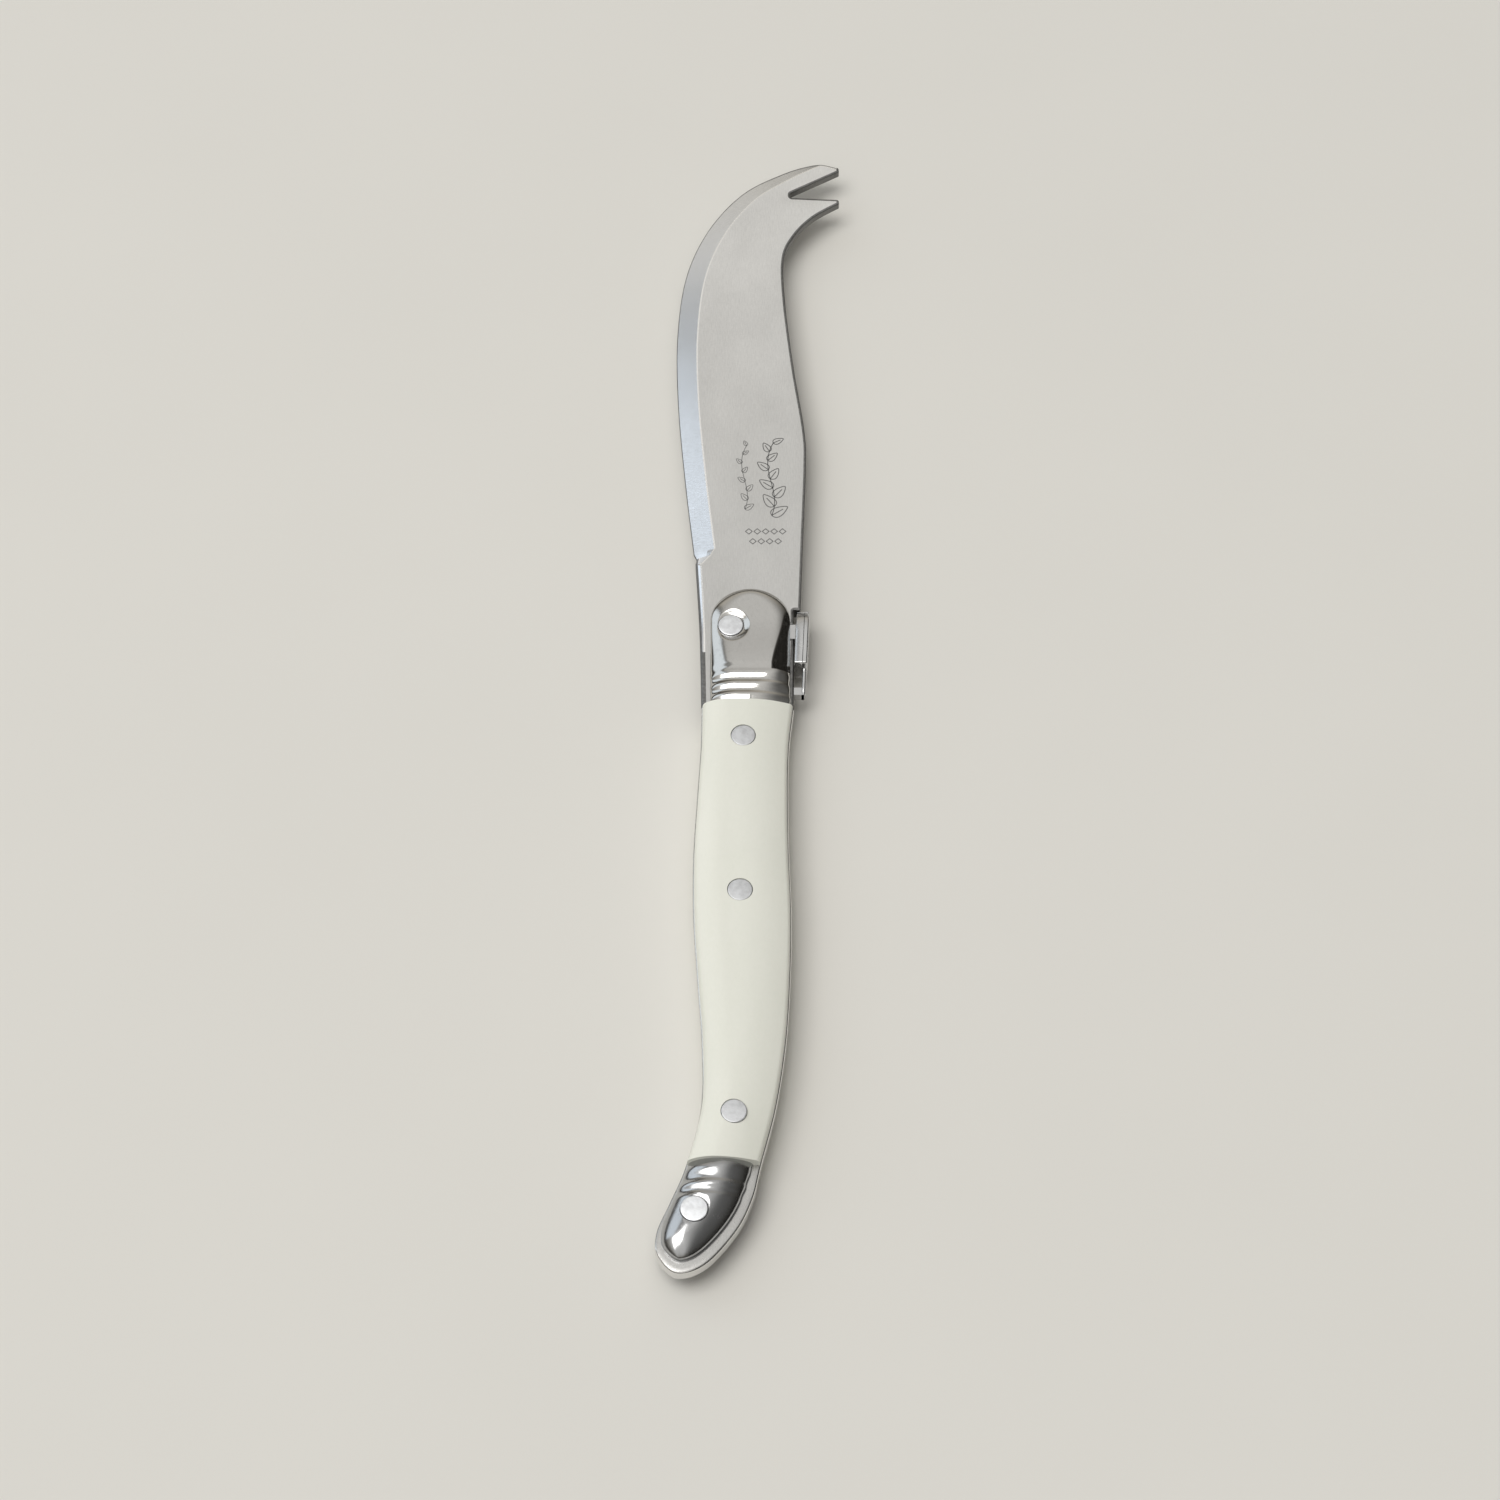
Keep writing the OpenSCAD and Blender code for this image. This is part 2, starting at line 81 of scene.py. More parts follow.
handle_w = 16.5         # widest part of the tang
blade_w = 22.5          # widest part of the blade
inset_edge = 1.5        # tang left bare beside the front bolster, edge side
inset_spine = 0.6       # and on the spine side
seam_shares = (-0.51, 0.46)     # sides of the tang at the front seam, shares of handle_w
zero_x = nose_x - (sum(seam_shares) * handle_w + inset_edge - inset_spine) / 2


def handle_at(share, y):
    return (zero_x + share * handle_w, y)


def blade_at(share_x, share_y):
    return (zero_x + share_x * blade_w, seam_y + front_l + share_y * blade_l)


def butt_at(share_x, share_y):
    return (zero_x + share_x * handle_w, rear_y - share_y * butt_l)


# Curves ---------------------------------------------------------------------


def smooth(points, steps=12):
    """Smooth curve through the points, with a number of steps in each span."""
    p = np.array(points, float)
    t = np.arange(steps)[:, None] / steps
    spans = []
    for i in range(len(p) - 1):
        a, b, c, d = p[max(i - 1, 0)], p[i], p[i + 1], p[min(i + 2, len(p) - 1)]
        bend = 2 * a - 5 * b + 4 * c - d
        spans.append(0.5 * (2 * b + (c - a) * t + bend * t**2 + (3 * b - a - 3 * c + d) * t**3))
    return np.vstack(spans + [p[-1:]])


def rounded(a, b, c, radius, steps=8):
    """Points in place of corner b of the path a, b, c."""
    a, b, c = (np.array(v, float) for v in (a, b, c))
    u = (a - b) / np.linalg.norm(a - b)
    v = (c - b) / np.linalg.norm(c - b)
    half = math.acos(float(u @ v)) / 2
    hub = b + (u + v) / np.linalg.norm(u + v) * radius / math.sin(half)
    start = b + u * radius / math.tan(half) - hub
    finish = b + v * radius / math.tan(half) - hub
    turn = math.copysign(math.pi - 2 * half, start[0] * finish[1] - start[1] * finish[0])
    angles = turn * np.arange(steps + 1)[:, None] / steps
    return hub + np.cos(angles) * start + np.sin(angles) * np.array([-start[1], start[0]])


def inward(points):
    """Unit normals of an open run, to the right of its direction."""
    run = np.gradient(points, axis=0)
    run /= np.linalg.norm(run, axis=1)[:, None]
    return np.column_stack([run[:, 1], -run[:, 0]])


def eased(share):
    share = np.clip(share, 0, 1)
    return share * share * (3 - 2 * share)


# The outline of the blade and the tang --------------------------------------

edge_line = smooth([blade_at(*p) for p in (
    (-0.445, 0.09), (-0.52, 0.245), (-0.585, 0.42), (-0.6, 0.58), (-0.535, 0.725),
    (-0.355, 0.84), (-0.07, 0.93), (0.265, 0.98), (0.55, 1), (0.755, 0.99),
)])
spine_line = smooth([blade_at(*p) for p in (
    (0.755, 0.9), (0.535, 0.865), (0.375, 0.82), (0.285, 0.765), (0.29, 0.665),
    (0.355, 0.51), (0.44, 0.36), (0.45, 0.28), (0.42, 0.11),
)])

# Stations along the scales: share of their length, edge side, spine side
stations = (
    (0, *seam_shares), (0.09, -0.515, 0.41), (0.2, -0.545, 0.395),
    (0.34, -0.58, 0.4), (0.475, -0.575, 0.42), (0.61, -0.53, 0.405),
    (0.745, -0.48, 0.36), (0.88, -0.48, 0.26), (1, -0.62, 0.11),
)
butt_end = (-0.7, 1)
butt_edge_side = ((-0.77, 0.35), (-0.89, 0.62), (-0.885, 0.83), butt_end)
butt_spine_side = ((0.03, 0.31), (-0.125, 0.61), (-0.42, 0.92))

down_edge = [handle_at(edge, seam_y - share * scale_l) for share, edge, _ in stations]
down_edge += [butt_at(*p) for p in butt_edge_side]
down_spine = [handle_at(spine, seam_y - share * scale_l) for share, _, spine in stations]
down_spine += [butt_at(*p) for p in butt_spine_side]
SPAN = 12
around = smooth(down_edge + down_spine[::-1], SPAN)     # down the edge side, up the spine side
butt_i = (len(down_edge) - 1) * SPAN
rear_i = (len(stations) - 1) * SPAN
tang_edge, tang_spine = around[:butt_i + 1], around[:butt_i - 1:-1]


def side_x(side, y):
    """Where a side of the tang, which runs down the handle, is at y."""
    return np.interp(-np.asarray(y, float), -side[:, 1], side[:, 0])


# Meshes ---------------------------------------------------------------------


def make_mesh(name, points_mm, faces, finishes, which=None, sharp=35):
    """A finished piece: points in millimetres in the row frame, one finish a face."""
    mesh = bpy.data.meshes.new(name)
    mesh.from_pydata([tuple(p) for p in np.asarray(points_mm, float) * MM], [], faces)
    for finish in finishes:
        mesh.materials.append(finish)
    if which is not None:
        mesh.polygons.foreach_set("material_index", np.asarray(which, np.int32))
    piece = bpy.data.objects.new(name, mesh)
    bpy.context.scene.collection.objects.link(piece)
    tidy_mesh(mesh, sharp)
    return piece


def tidy_mesh(mesh, sharp):
    """Merges doubles, shades smooth and keeps edges sharper than an angle in degrees."""
    work = bmesh.new()
    work.from_mesh(mesh)
    bmesh.ops.remove_doubles(work, verts=work.verts, dist=2e-7)
    bmesh.ops.dissolve_degenerate(work, edges=work.edges, dist=1e-7)
    work.to_mesh(mesh)
    work.free()
    mesh.shade_smooth()
    mesh.set_sharp_from_angle(angle=math.radians(sharp))


def skin(rows, n):
    """Faces of a closed body from rows of n points, with a cap on either end."""
    sides = [(i * n + k, i * n + (k + 1) % n, (i + 1) * n + (k + 1) % n, (i + 1) * n + k)
             for i in range(rows - 1) for k in range(n)]
    return sides + [list(range(n)), [(rows - 1) * n + k for k in range(n)][::-1]]


def face_outwards(mesh, sharp):
    """Turns every face of a closed mesh outwards."""
    work = bmesh.new()
    work.from_mesh(mesh)
    bmesh.ops.recalc_face_normals(work, faces=work.faces)
    work.to_mesh(mesh)
    work.free()
    mesh.set_sharp_from_angle(angle=math.radians(sharp))


def drill(piece, bores, sharp=35):
    """Cuts round bores through a piece: (centre x, centre y, radius) in millimetres."""
    rim = 96
    points, faces = [], []
    for x, y, r in bores:
        first = len(points)
        for z in (-1, 2 * mid_z + 1):
            points += [(x + r * math.cos(a), y + r * math.sin(a), z)
                       for a in 2 * math.pi * np.arange(rim) / rim]
        low = list(range(first, first + rim))
        high = [k + rim for k in low]
        faces += [low[::-1], high]
        faces += [(low[k], low[(k + 1) % rim], high[(k + 1) % rim], high[k]) for k in range(rim)]
    cutter_mesh = bpy.data.meshes.new("cutter")
    cutter_mesh.from_pydata([tuple(v) for v in np.array(points) * MM], [], faces)
    cutter = bpy.data.objects.new("cutter", cutter_mesh)
    bpy.context.scene.collection.objects.link(cutter)
    cut = piece.modifiers.new("bores", "BOOLEAN")
    cut.operation = "DIFFERENCE"
    cut.solver = "EXACT"
    cut.object = cutter
    evaluated = piece.evaluated_get(bpy.context.evaluated_depsgraph_get())
    drilled = bpy.data.meshes.new_from_object(evaluated)
    piece.modifiers.clear()
    old, piece.data = piece.data, drilled
    drilled.name = piece.name
    bpy.data.meshes.remove(old)
    bpy.data.objects.remove(cutter)
    tidy_mesh(drilled, sharp)


# Nodes ----------------------------------------------------------------------


class Wire:
    """An output socket that takes part in arithmetic."""

    def __init__(self, tree, socket):
        self.tree, self.socket = tree, socket

    def _math(self, operation, *values):
        return self.tree.node("ShaderNodeMath", {"operation": operation}, dict(enumerate(values)))

    def __add__(self, other):
        return self._math("ADD", self, other)

    def __radd__(self, other):
        return self._math("ADD", other, self)

    def __sub__(self, other):
        return self._math("SUBTRACT", self, other)

    def __rsub__(self, other):
        return self._math("SUBTRACT", other, self)

    def __mul__(self, other):
        return self._math("MULTIPLY", self, other)

    def __rmul__(self, other):
        return self._math("MULTIPLY", other, self)

    def __truediv__(self, other):
        return self._math("DIVIDE", self, other)

    def __rtruediv__(self, other):
        return self._math("DIVIDE", other, self)

    def __pow__(self, other):
        return self._math("POWER", self, other)

    def __mod__(self, other):
        return self._math("MODULO", self, other)

    def __abs__(self):
        return self._math("ABSOLUTE", self)

    def sine(self):
        return self._math("SINE", self)

    def cosine(self):
        return self._math("COSINE", self)

    def at_least(self, other):
        return self._math("MAXIMUM", self, other)

    def sign(self):
        return self._math("SIGN", self)

    def out(self, key):
        """Another output of the node that this wire comes from."""
        return Wire(self.tree, self.socket.node.outputs[key])


class Tree:
    """A node tree under construction."""

    def __init__(self, node_tree):
        self.tree = node_tree

    def node(self, kind, settings=None, inputs=None, out=0):
        """Adds a node, sets it up, feeds its sockets and gives one of its outputs."""
        made = self.tree.nodes.new(kind)
        for key, value in (settings or {}).items():
            if key == "stops":
                ramp = made.color_ramp
                for stop, (place, colour) in enumerate(value):
                    element = ramp.elements[stop] if stop < 2 else ramp.elements.new(place)
                    element.position, element.color = place, (*colour, 1)
            else:
                setattr(made, key, value)
        for key, value in (inputs or {}).items():
            if isinstance(value, Wire):
                self.tree.links.new(value.socket, made.inputs[key])
            else:
                made.inputs[key].default_value = value
        return Wire(self, made.outputs[out]) if made.outputs else made


class Finish(Tree):
    """A material whose pattern lies in the object's own coordinates, in millimetres."""

    def __init__(self, name, **constants):
        self.material = bpy.data.materials.new(name)
        self.material.use_nodes = True
        super().__init__(self.material.node_tree)
        self.shader = self.tree.nodes["Principled BSDF"]
        for key, value in constants.items():
            self.shader.inputs[key.replace("_", " ")].default_value = value
        place = self.node("ShaderNodeTexCoord", out="Object")
        self.place = self.node("ShaderNodeVectorMath", {"operation": "SCALE"},
                               {"Vector": place, "Scale": 1 / MM})

    def stretched(self, size, turn=(0, 0, 0)):
        """The place on the piece, scaled so that a pattern's marks have a size in mm."""
        return self.node("ShaderNodeMapping", {"vector_type": "TEXTURE"},
                         {"Vector": self.place, "Scale": size, "Rotation": turn})

    def grain(self, size, detail=3.0, rough=0.55, turn=(0, 0, 0)):
        """Cloudy pattern from 0 to 1 with marks of a size in mm."""
        return self.node("ShaderNodeTexNoise", {}, {
            "Vector": self.stretched(size, turn), "Scale": 1.0, "Detail": detail, "Roughness": rough})

    def mix(self, share, colour_a, colour_b):
        """Blends two colours: sockets 6 and 7 of a Mix node, with output 2 as the result."""
        return self.node("ShaderNodeMix", {"data_type": "RGBA"},
                         {0: share, 6: colour_a, 7: colour_b}, 2)

    def spread(self, value, low, high, to_low=0.0, to_high=1.0):
        """Maps a range of a value to another range, and holds the ends."""
        return self.node("ShaderNodeMapRange", {}, {
            "Value": value, "From Min": low, "From Max": high,
            "To Min": to_low, "To Max": to_high})

    def bump(self, height, depth_mm, strength=1.0, over=None):
        inputs = {"Height": height, "Distance": depth_mm * MM, "Strength": strength}
        if over is not None:
            inputs["Normal"] = over
        return self.node("ShaderNodeBump", {}, inputs)

    def feed(self, **wires):
        for key, wire in wires.items():
            self.tree.links.new(wire.socket, self.shader.inputs[key.replace("_", " ")])
        return self.material


def grey(value, warm=0.0):
    """A colour near grey: warm above 0 leans to yellow, below 0 to blue."""
    return (value * (1 + warm), value, value * (1 - 2 * warm), 1)


# Finishes -------------------------------------------------------------------


def satin_steel(name, tone, marks, roughness, dull=0.06, bump=0.004,
                turn=(0, 0, 0), painted_light_gain=0.0, warm=0.006):
    """Ground steel: fine marks along one direction, over a faint cloudiness.

    Towards the tines the tone rises by a gain: painted light, a brightening that stands in for the light
    falling stronger on the far end.
    """
    steel = Finish(name, Metallic=1.0)
    lines = steel.grain(marks, 4.0, 0.6, turn)
    cloud = steel.grain((9, 14, 9), 2.0)
    speck = steel.grain((0.35, 0.35, 0.35), 1.0)
    shade = steel.spread(lines * 0.5 + cloud * 0.35 + speck * 0.15, 0.35, 0.65)
    low, high = grey(tone - dull, warm), grey(tone + dull, warm)
    colour = steel.mix(shade, low, high)
    # Painted light: the colour brightens towards the tines, as the lighting makes it look.
    if painted_light_gain:
        ahead = steel.node("ShaderNodeSeparateXYZ", {}, {0: steel.place}, "Y")
        lift = steel.spread(ahead, seam_y + front_l, blade_high[1], 1.0, 1.0 + painted_light_gain)
        colour = steel.node("ShaderNodeVectorMath", {"operation": "SCALE"},
                            {"Vector": colour, "Scale": lift})
    return steel.feed(
        Base_Color=colour,
        Roughness=steel.spread(lines, 0.3, 0.7, roughness + 0.05, roughness - 0.05),
        Normal=steel.bump(lines + speck * 0.4, bump))


def polished_steel(name, tone, roughness, cool=-0.006):
    """Buffed steel: a mirror with hairlines, a few scuffs and a slight ripple."""
    steel = Finish(name, Metallic=1.0)
    hair = steel.grain((0.05, 1.6, 0.05), 3.0, 0.7, (0, 0, 0.35))
    cross = steel.grain((1.2, 0.05, 0.05), 3.0, 0.7, (0, 0, 0.2))
    ripple = steel.grain((2.6, 2.6, 2.6), 1.0)
    scuff = steel.spread(steel.grain((1.1, 1.5, 1.1), 4.0, 0.7), 0.56, 0.7)
    wear = steel.spread(hair * 0.6 + cross * 0.4, 0.4, 0.62)
    return steel.feed(
        Base_Color=steel.mix(wear * 0.5 + scuff * 0.3, grey(tone, cool), grey(tone - 0.1, cool)),
        Roughness=roughness + wear * 0.05 + scuff * 0.1,
        Normal=steel.bump(hair + cross, 0.0016, 1.0, steel.bump(ripple, 0.02, 0.5)))


def ivory_plastic():
    """Cast plastic: a creamy body with faint clouds and a few dark specks."""
    ivory = Finish("ivory_plastic", Specular_IOR_Level=0.4)
    cloud = ivory.grain((7, 22, 7), 3.0)
    fine = ivory.grain((0.5, 0.9, 0.5), 3.0)
    cells = ivory.node("ShaderNodeTexVoronoi", {"feature": "F1"},
                       {"Vector": ivory.stretched((17, 17, 17)), "Scale": 1.0})
    speck = ivory.spread(cells, 0.012, 0.02, 1.0, 0.0)
    body = ivory.mix(ivory.spread(cloud * 0.7 + fine * 0.3, 0.35, 0.65),
                     (0.785, 0.795, 0.725, 1), (0.825, 0.83, 0.765, 1))
    return ivory.feed(
        Base_Color=ivory.mix(speck * 0.7, body, (0.2, 0.17, 0.12, 1)),
        Roughness=ivory.spread(fine, 0.3, 0.7, 0.36, 0.48),
        Normal=ivory.bump(fine + cloud * 2, 0.006))


def pin_metal(name, tone, roughness, cool):
    """Pin ends faced flat: blotchy and matt, with fine sanding marks."""
    metal = Finish(name, Metallic=1.0)
    sanding = metal.grain((0.06, 0.7, 0.06), 3.0, 0.6, (0, 0, 0.9))
    blotch = metal.grain((0.9, 0.9, 0.9), 3.0, 0.6)
    tint = metal.spread(blotch * 0.7 + sanding * 0.3, 0.38, 0.62)
    return metal.feed(
        Base_Color=metal.mix(tint, grey(tone - 0.09, cool), grey(tone + 0.05, cool)),
        Roughness=metal.spread(blotch, 0.3, 0.7, roughness - 0.08, roughness + 0.1),
        Normal=metal.bump(sanding + blotch * 0.6, 0.006))


def etched_finish():
    """Etched line: dull and a little darker than the satin face round it."""
    line = Finish("etched_line", Metallic=1.0)
    bite = line.grain((0.12, 0.12, 0.12), 2.0)
    return line.feed(
        Base_Color=line.mix(bite, grey(0.13), grey(0.24)),
        Roughness=line.spread(bite, 0.3, 0.7, 0.5, 0.65),
        Normal=line.bump(bite, 0.004))


TABLE_LOW = (0.735, 0.722, 0.688, 1)
TABLE_HIGH = (0.745, 0.732, 0.698, 1)


def table_paper():
    """Plain pale paint for the surface that the knife lies on."""
    paper = Finish("pale_table", Roughness=0.85, Specular_IOR_Level=0.2)
    cloud = paper.grain((60, 60, 60), 2.0)
    return paper.feed(
        Base_Color=paper.mix(paper.spread(cloud, 0.3, 0.7), TABLE_LOW, TABLE_HIGH),
        Normal=paper.bump(paper.grain((0.8, 0.8, 0.8), 3.0), 0.01))


# The gain on the blade's face and bevel is painted light: the colour is brighter towards the tines.
blade_satin = satin_steel("blade_satin", 0.61, (0.12, 1.5, 0.12), 0.36, painted_light_gain=0.3)
# The bevel's ground marks are real; its brighter, bluish tone is a painted reflection of the cool light
# from the left.
bevel_ground = satin_steel("bevel_ground", 0.74, (0.9, 0.1, 0.9), 0.2, 0.05, 0.003,
                           (0, 0, 0.1), 0.2, -0.022)
# Painted highlight: the grind line's near-white tone stands in for the light caught on its rounding.
grind_line = satin_steel("grind_line", 0.97, (0.3, 0.3, 0.3), 0.25, 0.02)
# Painted shade: the blade's side walls are made very dark, as they look in shadow; their coarser stamped
# marks are real.
stamped_side = satin_steel("stamped_side", 0.2, (0.5, 0.5, 0.08), 0.35, 0.08, 0.01)
tang_face = satin_steel("tang_face", 0.47, (0.3, 1.2, 0.3), 0.3)
# Painted reflection: the tang's side walls are made bright, as the light they reflect makes them look.
tang_side = satin_steel("tang_side", 0.78, (1.5, 1.5, 0.1), 0.16, 0.05, 0.004)
bolster_polish = polished_steel("bolster_polish", 0.58, 0.1, 0.012)
end_polish = polished_steel("end_polish", 0.5, 0.17, -0.012)
ornament_polish = polished_steel("ornament_polish", 0.62, 0.2)
bolster_pin = pin_metal("bolster_pin", 0.82, 0.4, -0.02)
scale_pin = pin_metal("scale_pin", 0.63, 0.48, -0.016)
ivory = ivory_plastic()
etched_line = etched_finish()


# Blade and tang -------------------------------------------------------------

bevel_w = 3.8           # width of the ground bevel
edge_t = 0.4            # thickness left at the cutting edge
side_w = 0.36           # width of the softened border elsewhere
tang_side_w = 0.75      # and round the tang
side_fall = 0.03        # how far that border falls below the faces
fade_end = 0.92         # where the bevel has run out, share of the edge
fade_least = 0.06       # what is left of it at the tines
ricasso_w = 0.95        # border and fall at the short blunt edge behind the bevel
ricasso_fall = 0.22
heel_w = 3.25           # widths of the bevel where it ends at the heel and the nick
nick_w = 2.7
heel_inside = ((0.985, 0.17), (0.96, 0.28), (0.93, 0.37))   # ways inwards round the heel
slot_l = 9.3            # length of the slot between the tines
slot_root_w = 1.1
tine_end_w = 1
tine_r = 0.35
recess_y = seam_y + front_l - 3.6       # front end of the recess for the ornament
recess_depth = 1.3
recess_r = 0.3
foot_w = 3.08           # width of the notch that takes the ornament's foot
foot_depth = 1.24
taper_from = 0.42       # where the back starts to thin, and over how long, shares of the length
taper_l = 0.42
back_share = 0.12       # what is left of the back half at the tines
FACE, LINE, BEVEL, SIDE, TANG_FACE, TANG_SIDE = range(6)    # material slots of the blade


def fork_run():
    """The ends of the tines and the slot between them."""
    up_tip, low_tip = edge_line[-1], spine_line[0]
    up_mouth = up_tip + (0.1, -tine_end_w)
    low_mouth = low_tip + (-0.1, tine_end_w)
    root = np.array((up_tip[0] - slot_l, low_mouth[1] + 0.15 * (up_mouth[1] - low_mouth[1])))
    half = np.array((0, slot_root_w / 2))
    path = [edge_line[-2], up_tip, up_mouth, root + half, root - half,
            low_mouth, low_tip, spine_line[1]]
    root_r = slot_root_w * 0.45
    radii = [tine_r, tine_r, root_r, root_r, tine_r, tine_r]
    return np.vstack([rounded(*path[i:i + 3], r) for i, r in enumerate(radii)])


def spine_step():
    """The recess for the ornament and the notch for its foot, going down the spine."""
    side = tang_spine[0][0]
    step = [spine_line[-1], (side + recess_depth, recess_y), (side, recess_y), (side, recess_y - 2)]
    corners = [rounded(*step[i:i + 3], recess_r, 5) for i in (0, 1)]
    foot_y = (ornament_low[1] + 3 * ornament_high[1]) / 4
    notch = [(side, foot_y + foot_w / 2), (side - foot_depth, foot_y + foot_w / 2),
             (side - foot_depth, foot_y - foot_w / 2), (side, foot_y - foot_w / 2)]
    return np.vstack(corners + [np.array(notch)])


def rim():
    """Stations round the stamping: place, width and depth of the ground border, way inwards."""
    runs = []

    def add(points, width, depth, inside=None):
        points = np.atleast_2d(points)
        n = len(points)
        inside = np.full((n, 2), np.nan) if inside is None else np.atleast_2d(inside)
        runs.append((points, np.broadcast_to(width, n), np.broadcast_to(depth, n), inside))

    share = np.linspace(0, 1, len(edge_line))
    fade = np.clip(1 - (share / fade_end) ** 6, fade_least, 1)
    deep = (stock_t - edge_t) / 2
    cut = slice(0, -2)
    normals = inward(edge_line)
    normals[0] = heel_inside[0]
    add(edge_line[cut], (side_w + (bevel_w - side_w) * fade)[cut], (deep * fade)[cut], normals[cut])
    for run in (fork_run(), spine_line[1:], spine_step()):
        add(run, side_w, side_fall)
    for run in (tang_spine, tang_edge[-2:0:-1]):
        add(run, tang_side_w, side_fall)
    ricasso = np.array(blade_at(-0.43, 0.066))
    flank = smooth([tang_edge[0], handle_at(-0.522, seam_y + front_l * 0.37),
                    handle_at(-0.54, seam_y + front_l * 0.74), ricasso])
    climb = eased(np.linspace(-0.6, 1, len(flank)))[:-1]
    add(flank[:-1], tang_side_w + (ricasso_w - tang_side_w) * climb,
        side_fall + (ricasso_fall - side_fall) * climb)
    add(rounded(flank[-2], ricasso, ricasso + (0.5, 0.3), 0.18, 4), ricasso_w, ricasso_fall)
    heel = edge_line[0]
    nick = heel + (0.62, -1.5)
    add(nick + (-0.06, -0.22), nick_w, 0.0, heel_inside[2])
    add(nick, nick_w, deep, heel_inside[2])
    add(heel + (0.32, -0.75), heel_w, deep, heel_inside[1])
    return [np.concatenate(part) for part in zip(*runs)]


def keep_flat(piece, *levels):
    """Marks the rims of the flat faces sharp, so that they shade flat."""
    mesh = piece.data
    level = np.array([face.center.z for face in mesh.polygons])
    flat = np.any([np.abs(level - z) < 1e-7 for z in levels], axis=0)
    work = bmesh.new()
    work.from_mesh(mesh)
    work.faces.ensure_lookup_table()
    for edge in work.edges:
        sides = [flat[face.index] for face in edge.link_faces]
        if len(sides) == 2 and sides[0] != sides[1]:
            edge.smooth = False
    work.to_mesh(mesh)
    work.free()


def plate(name):
    """The stamping: a ground and softened border round two flat faces."""
    at, width, depth, inside = rim()
    ahead = np.roll(at, -1, 0) - at
    ahead /= np.linalg.norm(ahead, axis=1)[:, None]
    normal = np.column_stack([ahead[:, 1], -ahead[:, 0]])
    behind = np.roll(normal, 1, 0)
    mitre = (normal + behind) / np.maximum(1 + (normal * behind).sum(1), 0.5)[:, None]
    inside = np.where(np.isnan(inside), mitre, inside)

    half = stock_t / 2
    # Rounding of the outer corner, then of the grind line
    lip = np.minimum(0.55 * np.minimum(width, tang_side_w), 0.75 * (half - depth))
    soft = np.minimum(0.14, 0.3 * width)
    slope = depth / (width - lip)
    offsets = [width + soft, width - soft]
    heights = [np.full(len(at), half), half - slope * soft]
    for share in (1 / 3, 2 / 3, 1):
        offsets.append(offsets[1] + (lip - offsets[1]) * share)
        heights.append(heights[1] + (half - depth - heights[1]) * share)
    for turn in np.radians(range(15, 91, 15)):
        offsets.append(lip * (1 - math.sin(turn)))
        heights.append(half - depth - lip * (1 - math.cos(turn)))
    # LINE faces take the grind line's painted highlight, BEVEL the bevel's painted reflection, SIDE the
    # walls' painted shade.
    kinds = [LINE, BEVEL, BEVEL, BEVEL] + 6 * [SIDE]
    offsets, heights = offsets + offsets[::-1], heights + [-h for h in heights[::-1]]
    kinds = kinds + [SIDE] + kinds[::-1]

    rings = [np.column_stack([at + inside * o[:, None], mid_z + h]) for o, h in zip(offsets, heights)]
    n, levels = len(at), len(rings)
    points = [p for ring in rings for p in ring]
    faces, which = [], []
    for level in range(levels - 1):
        for i in range(n):
            j = (i + 1) % n
            faces.append((level * n + i, level * n + j, (level + 1) * n + j, (level + 1) * n + i))
            plain = (max(width[i], width[j]) < tang_side_w + 0.02
                     and max(depth[i], depth[j]) < side_fall + 0.01)
            which.append(SIDE if plain else kinds[level])

    top = rings[0][:, :2]
    spacing = 2.4
    grid = [(x, y) for x in np.arange(top[:, 0].min(), top[:, 0].max(), spacing)
            for y in np.arange(top[:, 1].min(), top[:, 1].max(), spacing)
            if np.hypot(*(top - (x, y)).T).min() > spacing / 3]
    flat = [Vector(p) for p in list(top) + grid]
    loop = [(i, (i + 1) % n) for i in range(n)]
    corners, _, triangles, origin, _, _ = delaunay_2d_cdt(flat, loop, [], 1, 1e-6)
    for side, z, base in ((1, rings[0][0][2], 0), (-1, rings[-1][0][2], (levels - 1) * n)):
        ids = []
        for corner, source in zip(corners, origin):
            if source and source[0] < n:
                ids.append(base + source[0])
            else:
                ids.append(len(points))
                points.append((corner.x, corner.y, z))
        for a, b, c in triangles:
            turn = (corners[b] - corners[a]).cross(corners[c] - corners[a]) * side
            faces.append((ids[a], ids[b], ids[c]) if turn > 0 else (ids[a], ids[c], ids[b]))
            which.append(FACE)
    piece = make_mesh(name, points, faces, [blade_satin, grind_line, bevel_ground, stamped_side,
                                            tang_face, tang_side], which, 35)
    keep_flat(piece, rings[0][0][2] * MM, rings[-1][0][2] * MM)
    thinned(piece)
    return piece


def thinned(piece):
    """Grinds the back thinner towards the tines, and gives the tang its own finishes, with a painted
    reflection on its side walls.
    """
    start = seam_y + front_l + taper_from * blade_l
    for vertex in piece.data.vertices:
        share = (vertex.co.y / MM - start) / (taper_l * blade_l)
        below = vertex.co.z - mid_z * MM
        if share > 0 and below < 0:
            vertex.co.z = mid_z * MM + below * (1 - (1 - back_share) * float(eased(share)))
    for face in piece.data.polygons:
        y = face.center.y / MM
        if y < seam_y + 0.5 and face.material_index in (FACE, SIDE):
            lies_flat = y < rear_y and abs(face.normal.z) > 0.9
            on_face = lies_flat or face.material_index == FACE
            face.material_index = TANG_FACE if on_face else TANG_SIDE


# Scales and bolsters --------------------------------------------------------

